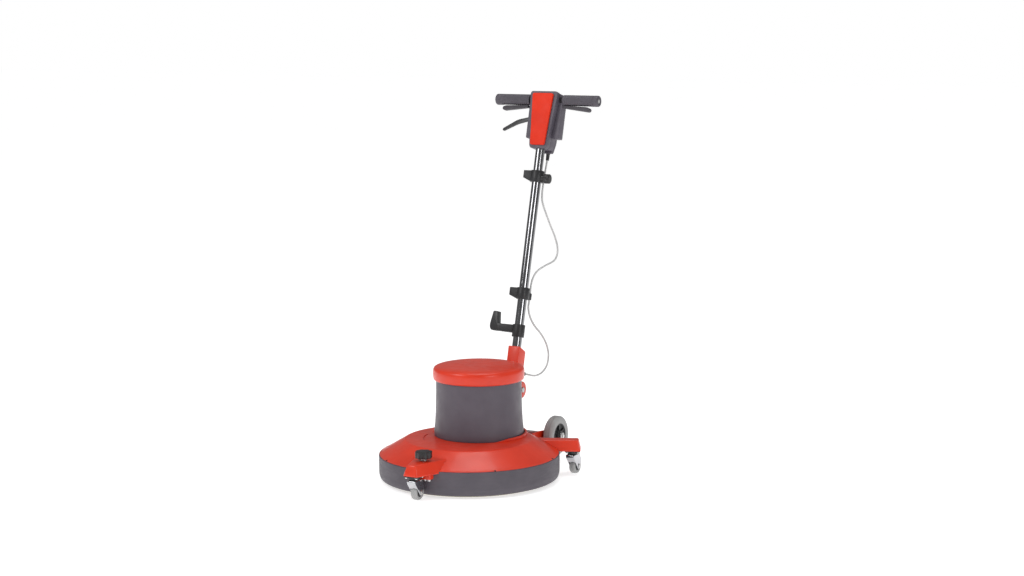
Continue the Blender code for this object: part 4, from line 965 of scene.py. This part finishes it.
def make_floor():
    bm = bmesh.new()
    bmesh.ops.create_grid(bm, x_segments=1, y_segments=1, size=30.0)
    floor = make_object("studio_floor", bm)
    floor.location.z = -0.0005
    floor.data.materials.append(FLOOR)
    glow = FLOOR.node_tree.nodes["Principled BSDF"].inputs
    glow["Emission Color"].default_value = WHITE
    glow["Emission Strength"].default_value = FLOOR_GLOW


def make_surroundings():
    """White all round, brighter to the camera than as light and as reflections on the machine."""
    world = bpy.data.worlds.new("studio")
    bpy.context.scene.world = world
    world.use_nodes = True
    tree = world.node_tree
    background = tree.nodes["Background"]
    background.inputs["Color"].default_value = WHITE
    ray = tree.nodes.new("ShaderNodeLightPath").outputs
    strength = None
    for kind, gain in (("Is Camera Ray", 1.0 - WORLD_LIGHT), ("Is Glossy Ray", WORLD_GLOSS - WORLD_LIGHT)):
        node = tree.nodes.new("ShaderNodeMath")
        node.operation = "MULTIPLY_ADD"
        tree.links.new(ray[kind], node.inputs[0])
        node.inputs[1].default_value = gain
        if strength:
            tree.links.new(strength, node.inputs[2])
        else:
            node.inputs[2].default_value = WORLD_LIGHT
        strength = node.outputs[0]
    tree.links.new(strength, background.inputs["Strength"])
    bpy.context.scene.view_settings.view_transform = "Standard"


def area_light(name, place, target, size, power):
    light = bpy.data.lights.new(name, "AREA")
    light.shape = "DISK"
    light.size = size
    light.energy = power
    obj = bpy.data.objects.new(name, light)
    obj.location = place
    obj.rotation_euler = (Vector(target) - Vector(place)).to_track_quat("-Z", "Y").to_euler()
    bpy.context.scene.collection.objects.link(obj)


def make_lights():
    area_light("key", (-1.6, -2.6, 2.6), (0, 0, 0.4), 1.6, 42.0)
    area_light("fill", (3.2, -1.6, 1.6), (0, 0, 0.4), 1.2, 24.0)
    area_light("top", (0.0, 0.4, 3.6), (0, 0, 0.2), 2.0, 34.0)


def make_camera():
    data = bpy.data.cameras.new("camera")
    data.lens = CAMERA_LENS
    data.clip_end = 100.0
    camera = bpy.data.objects.new("camera", data)
    level = math.cos(CAMERA_ELEVATION)
    back = Vector((math.sin(CAMERA_AZIMUTH) * level, -math.cos(CAMERA_AZIMUTH) * level,
                   math.sin(CAMERA_ELEVATION)))
    turn = (-back).to_track_quat("-Z", "Y").to_matrix().to_4x4() @ Matrix.Rotation(CAMERA_ROLL, 4, "Z")
    camera.matrix_world = Matrix.Translation(CAMERA_AIM + back * CAMERA_DISTANCE) @ turn
    bpy.context.scene.collection.objects.link(camera)
    bpy.context.scene.camera = camera


make_camera()
make_cable()
make_deck()
make_arms()
make_front_bracket()
make_height_knob()
for castor_side in SWIVELS:
    make_castor(castor_side)
make_transport_wheels()
make_tower()
make_bracket()
make_pad()
make_stem()
make_clamps()
make_cable_hook()
make_head_front()
make_head_rear()
make_head_fittings()
make_grips()
make_lever()
dress_kept_nodes()
make_floor()
make_surroundings()
make_lights()
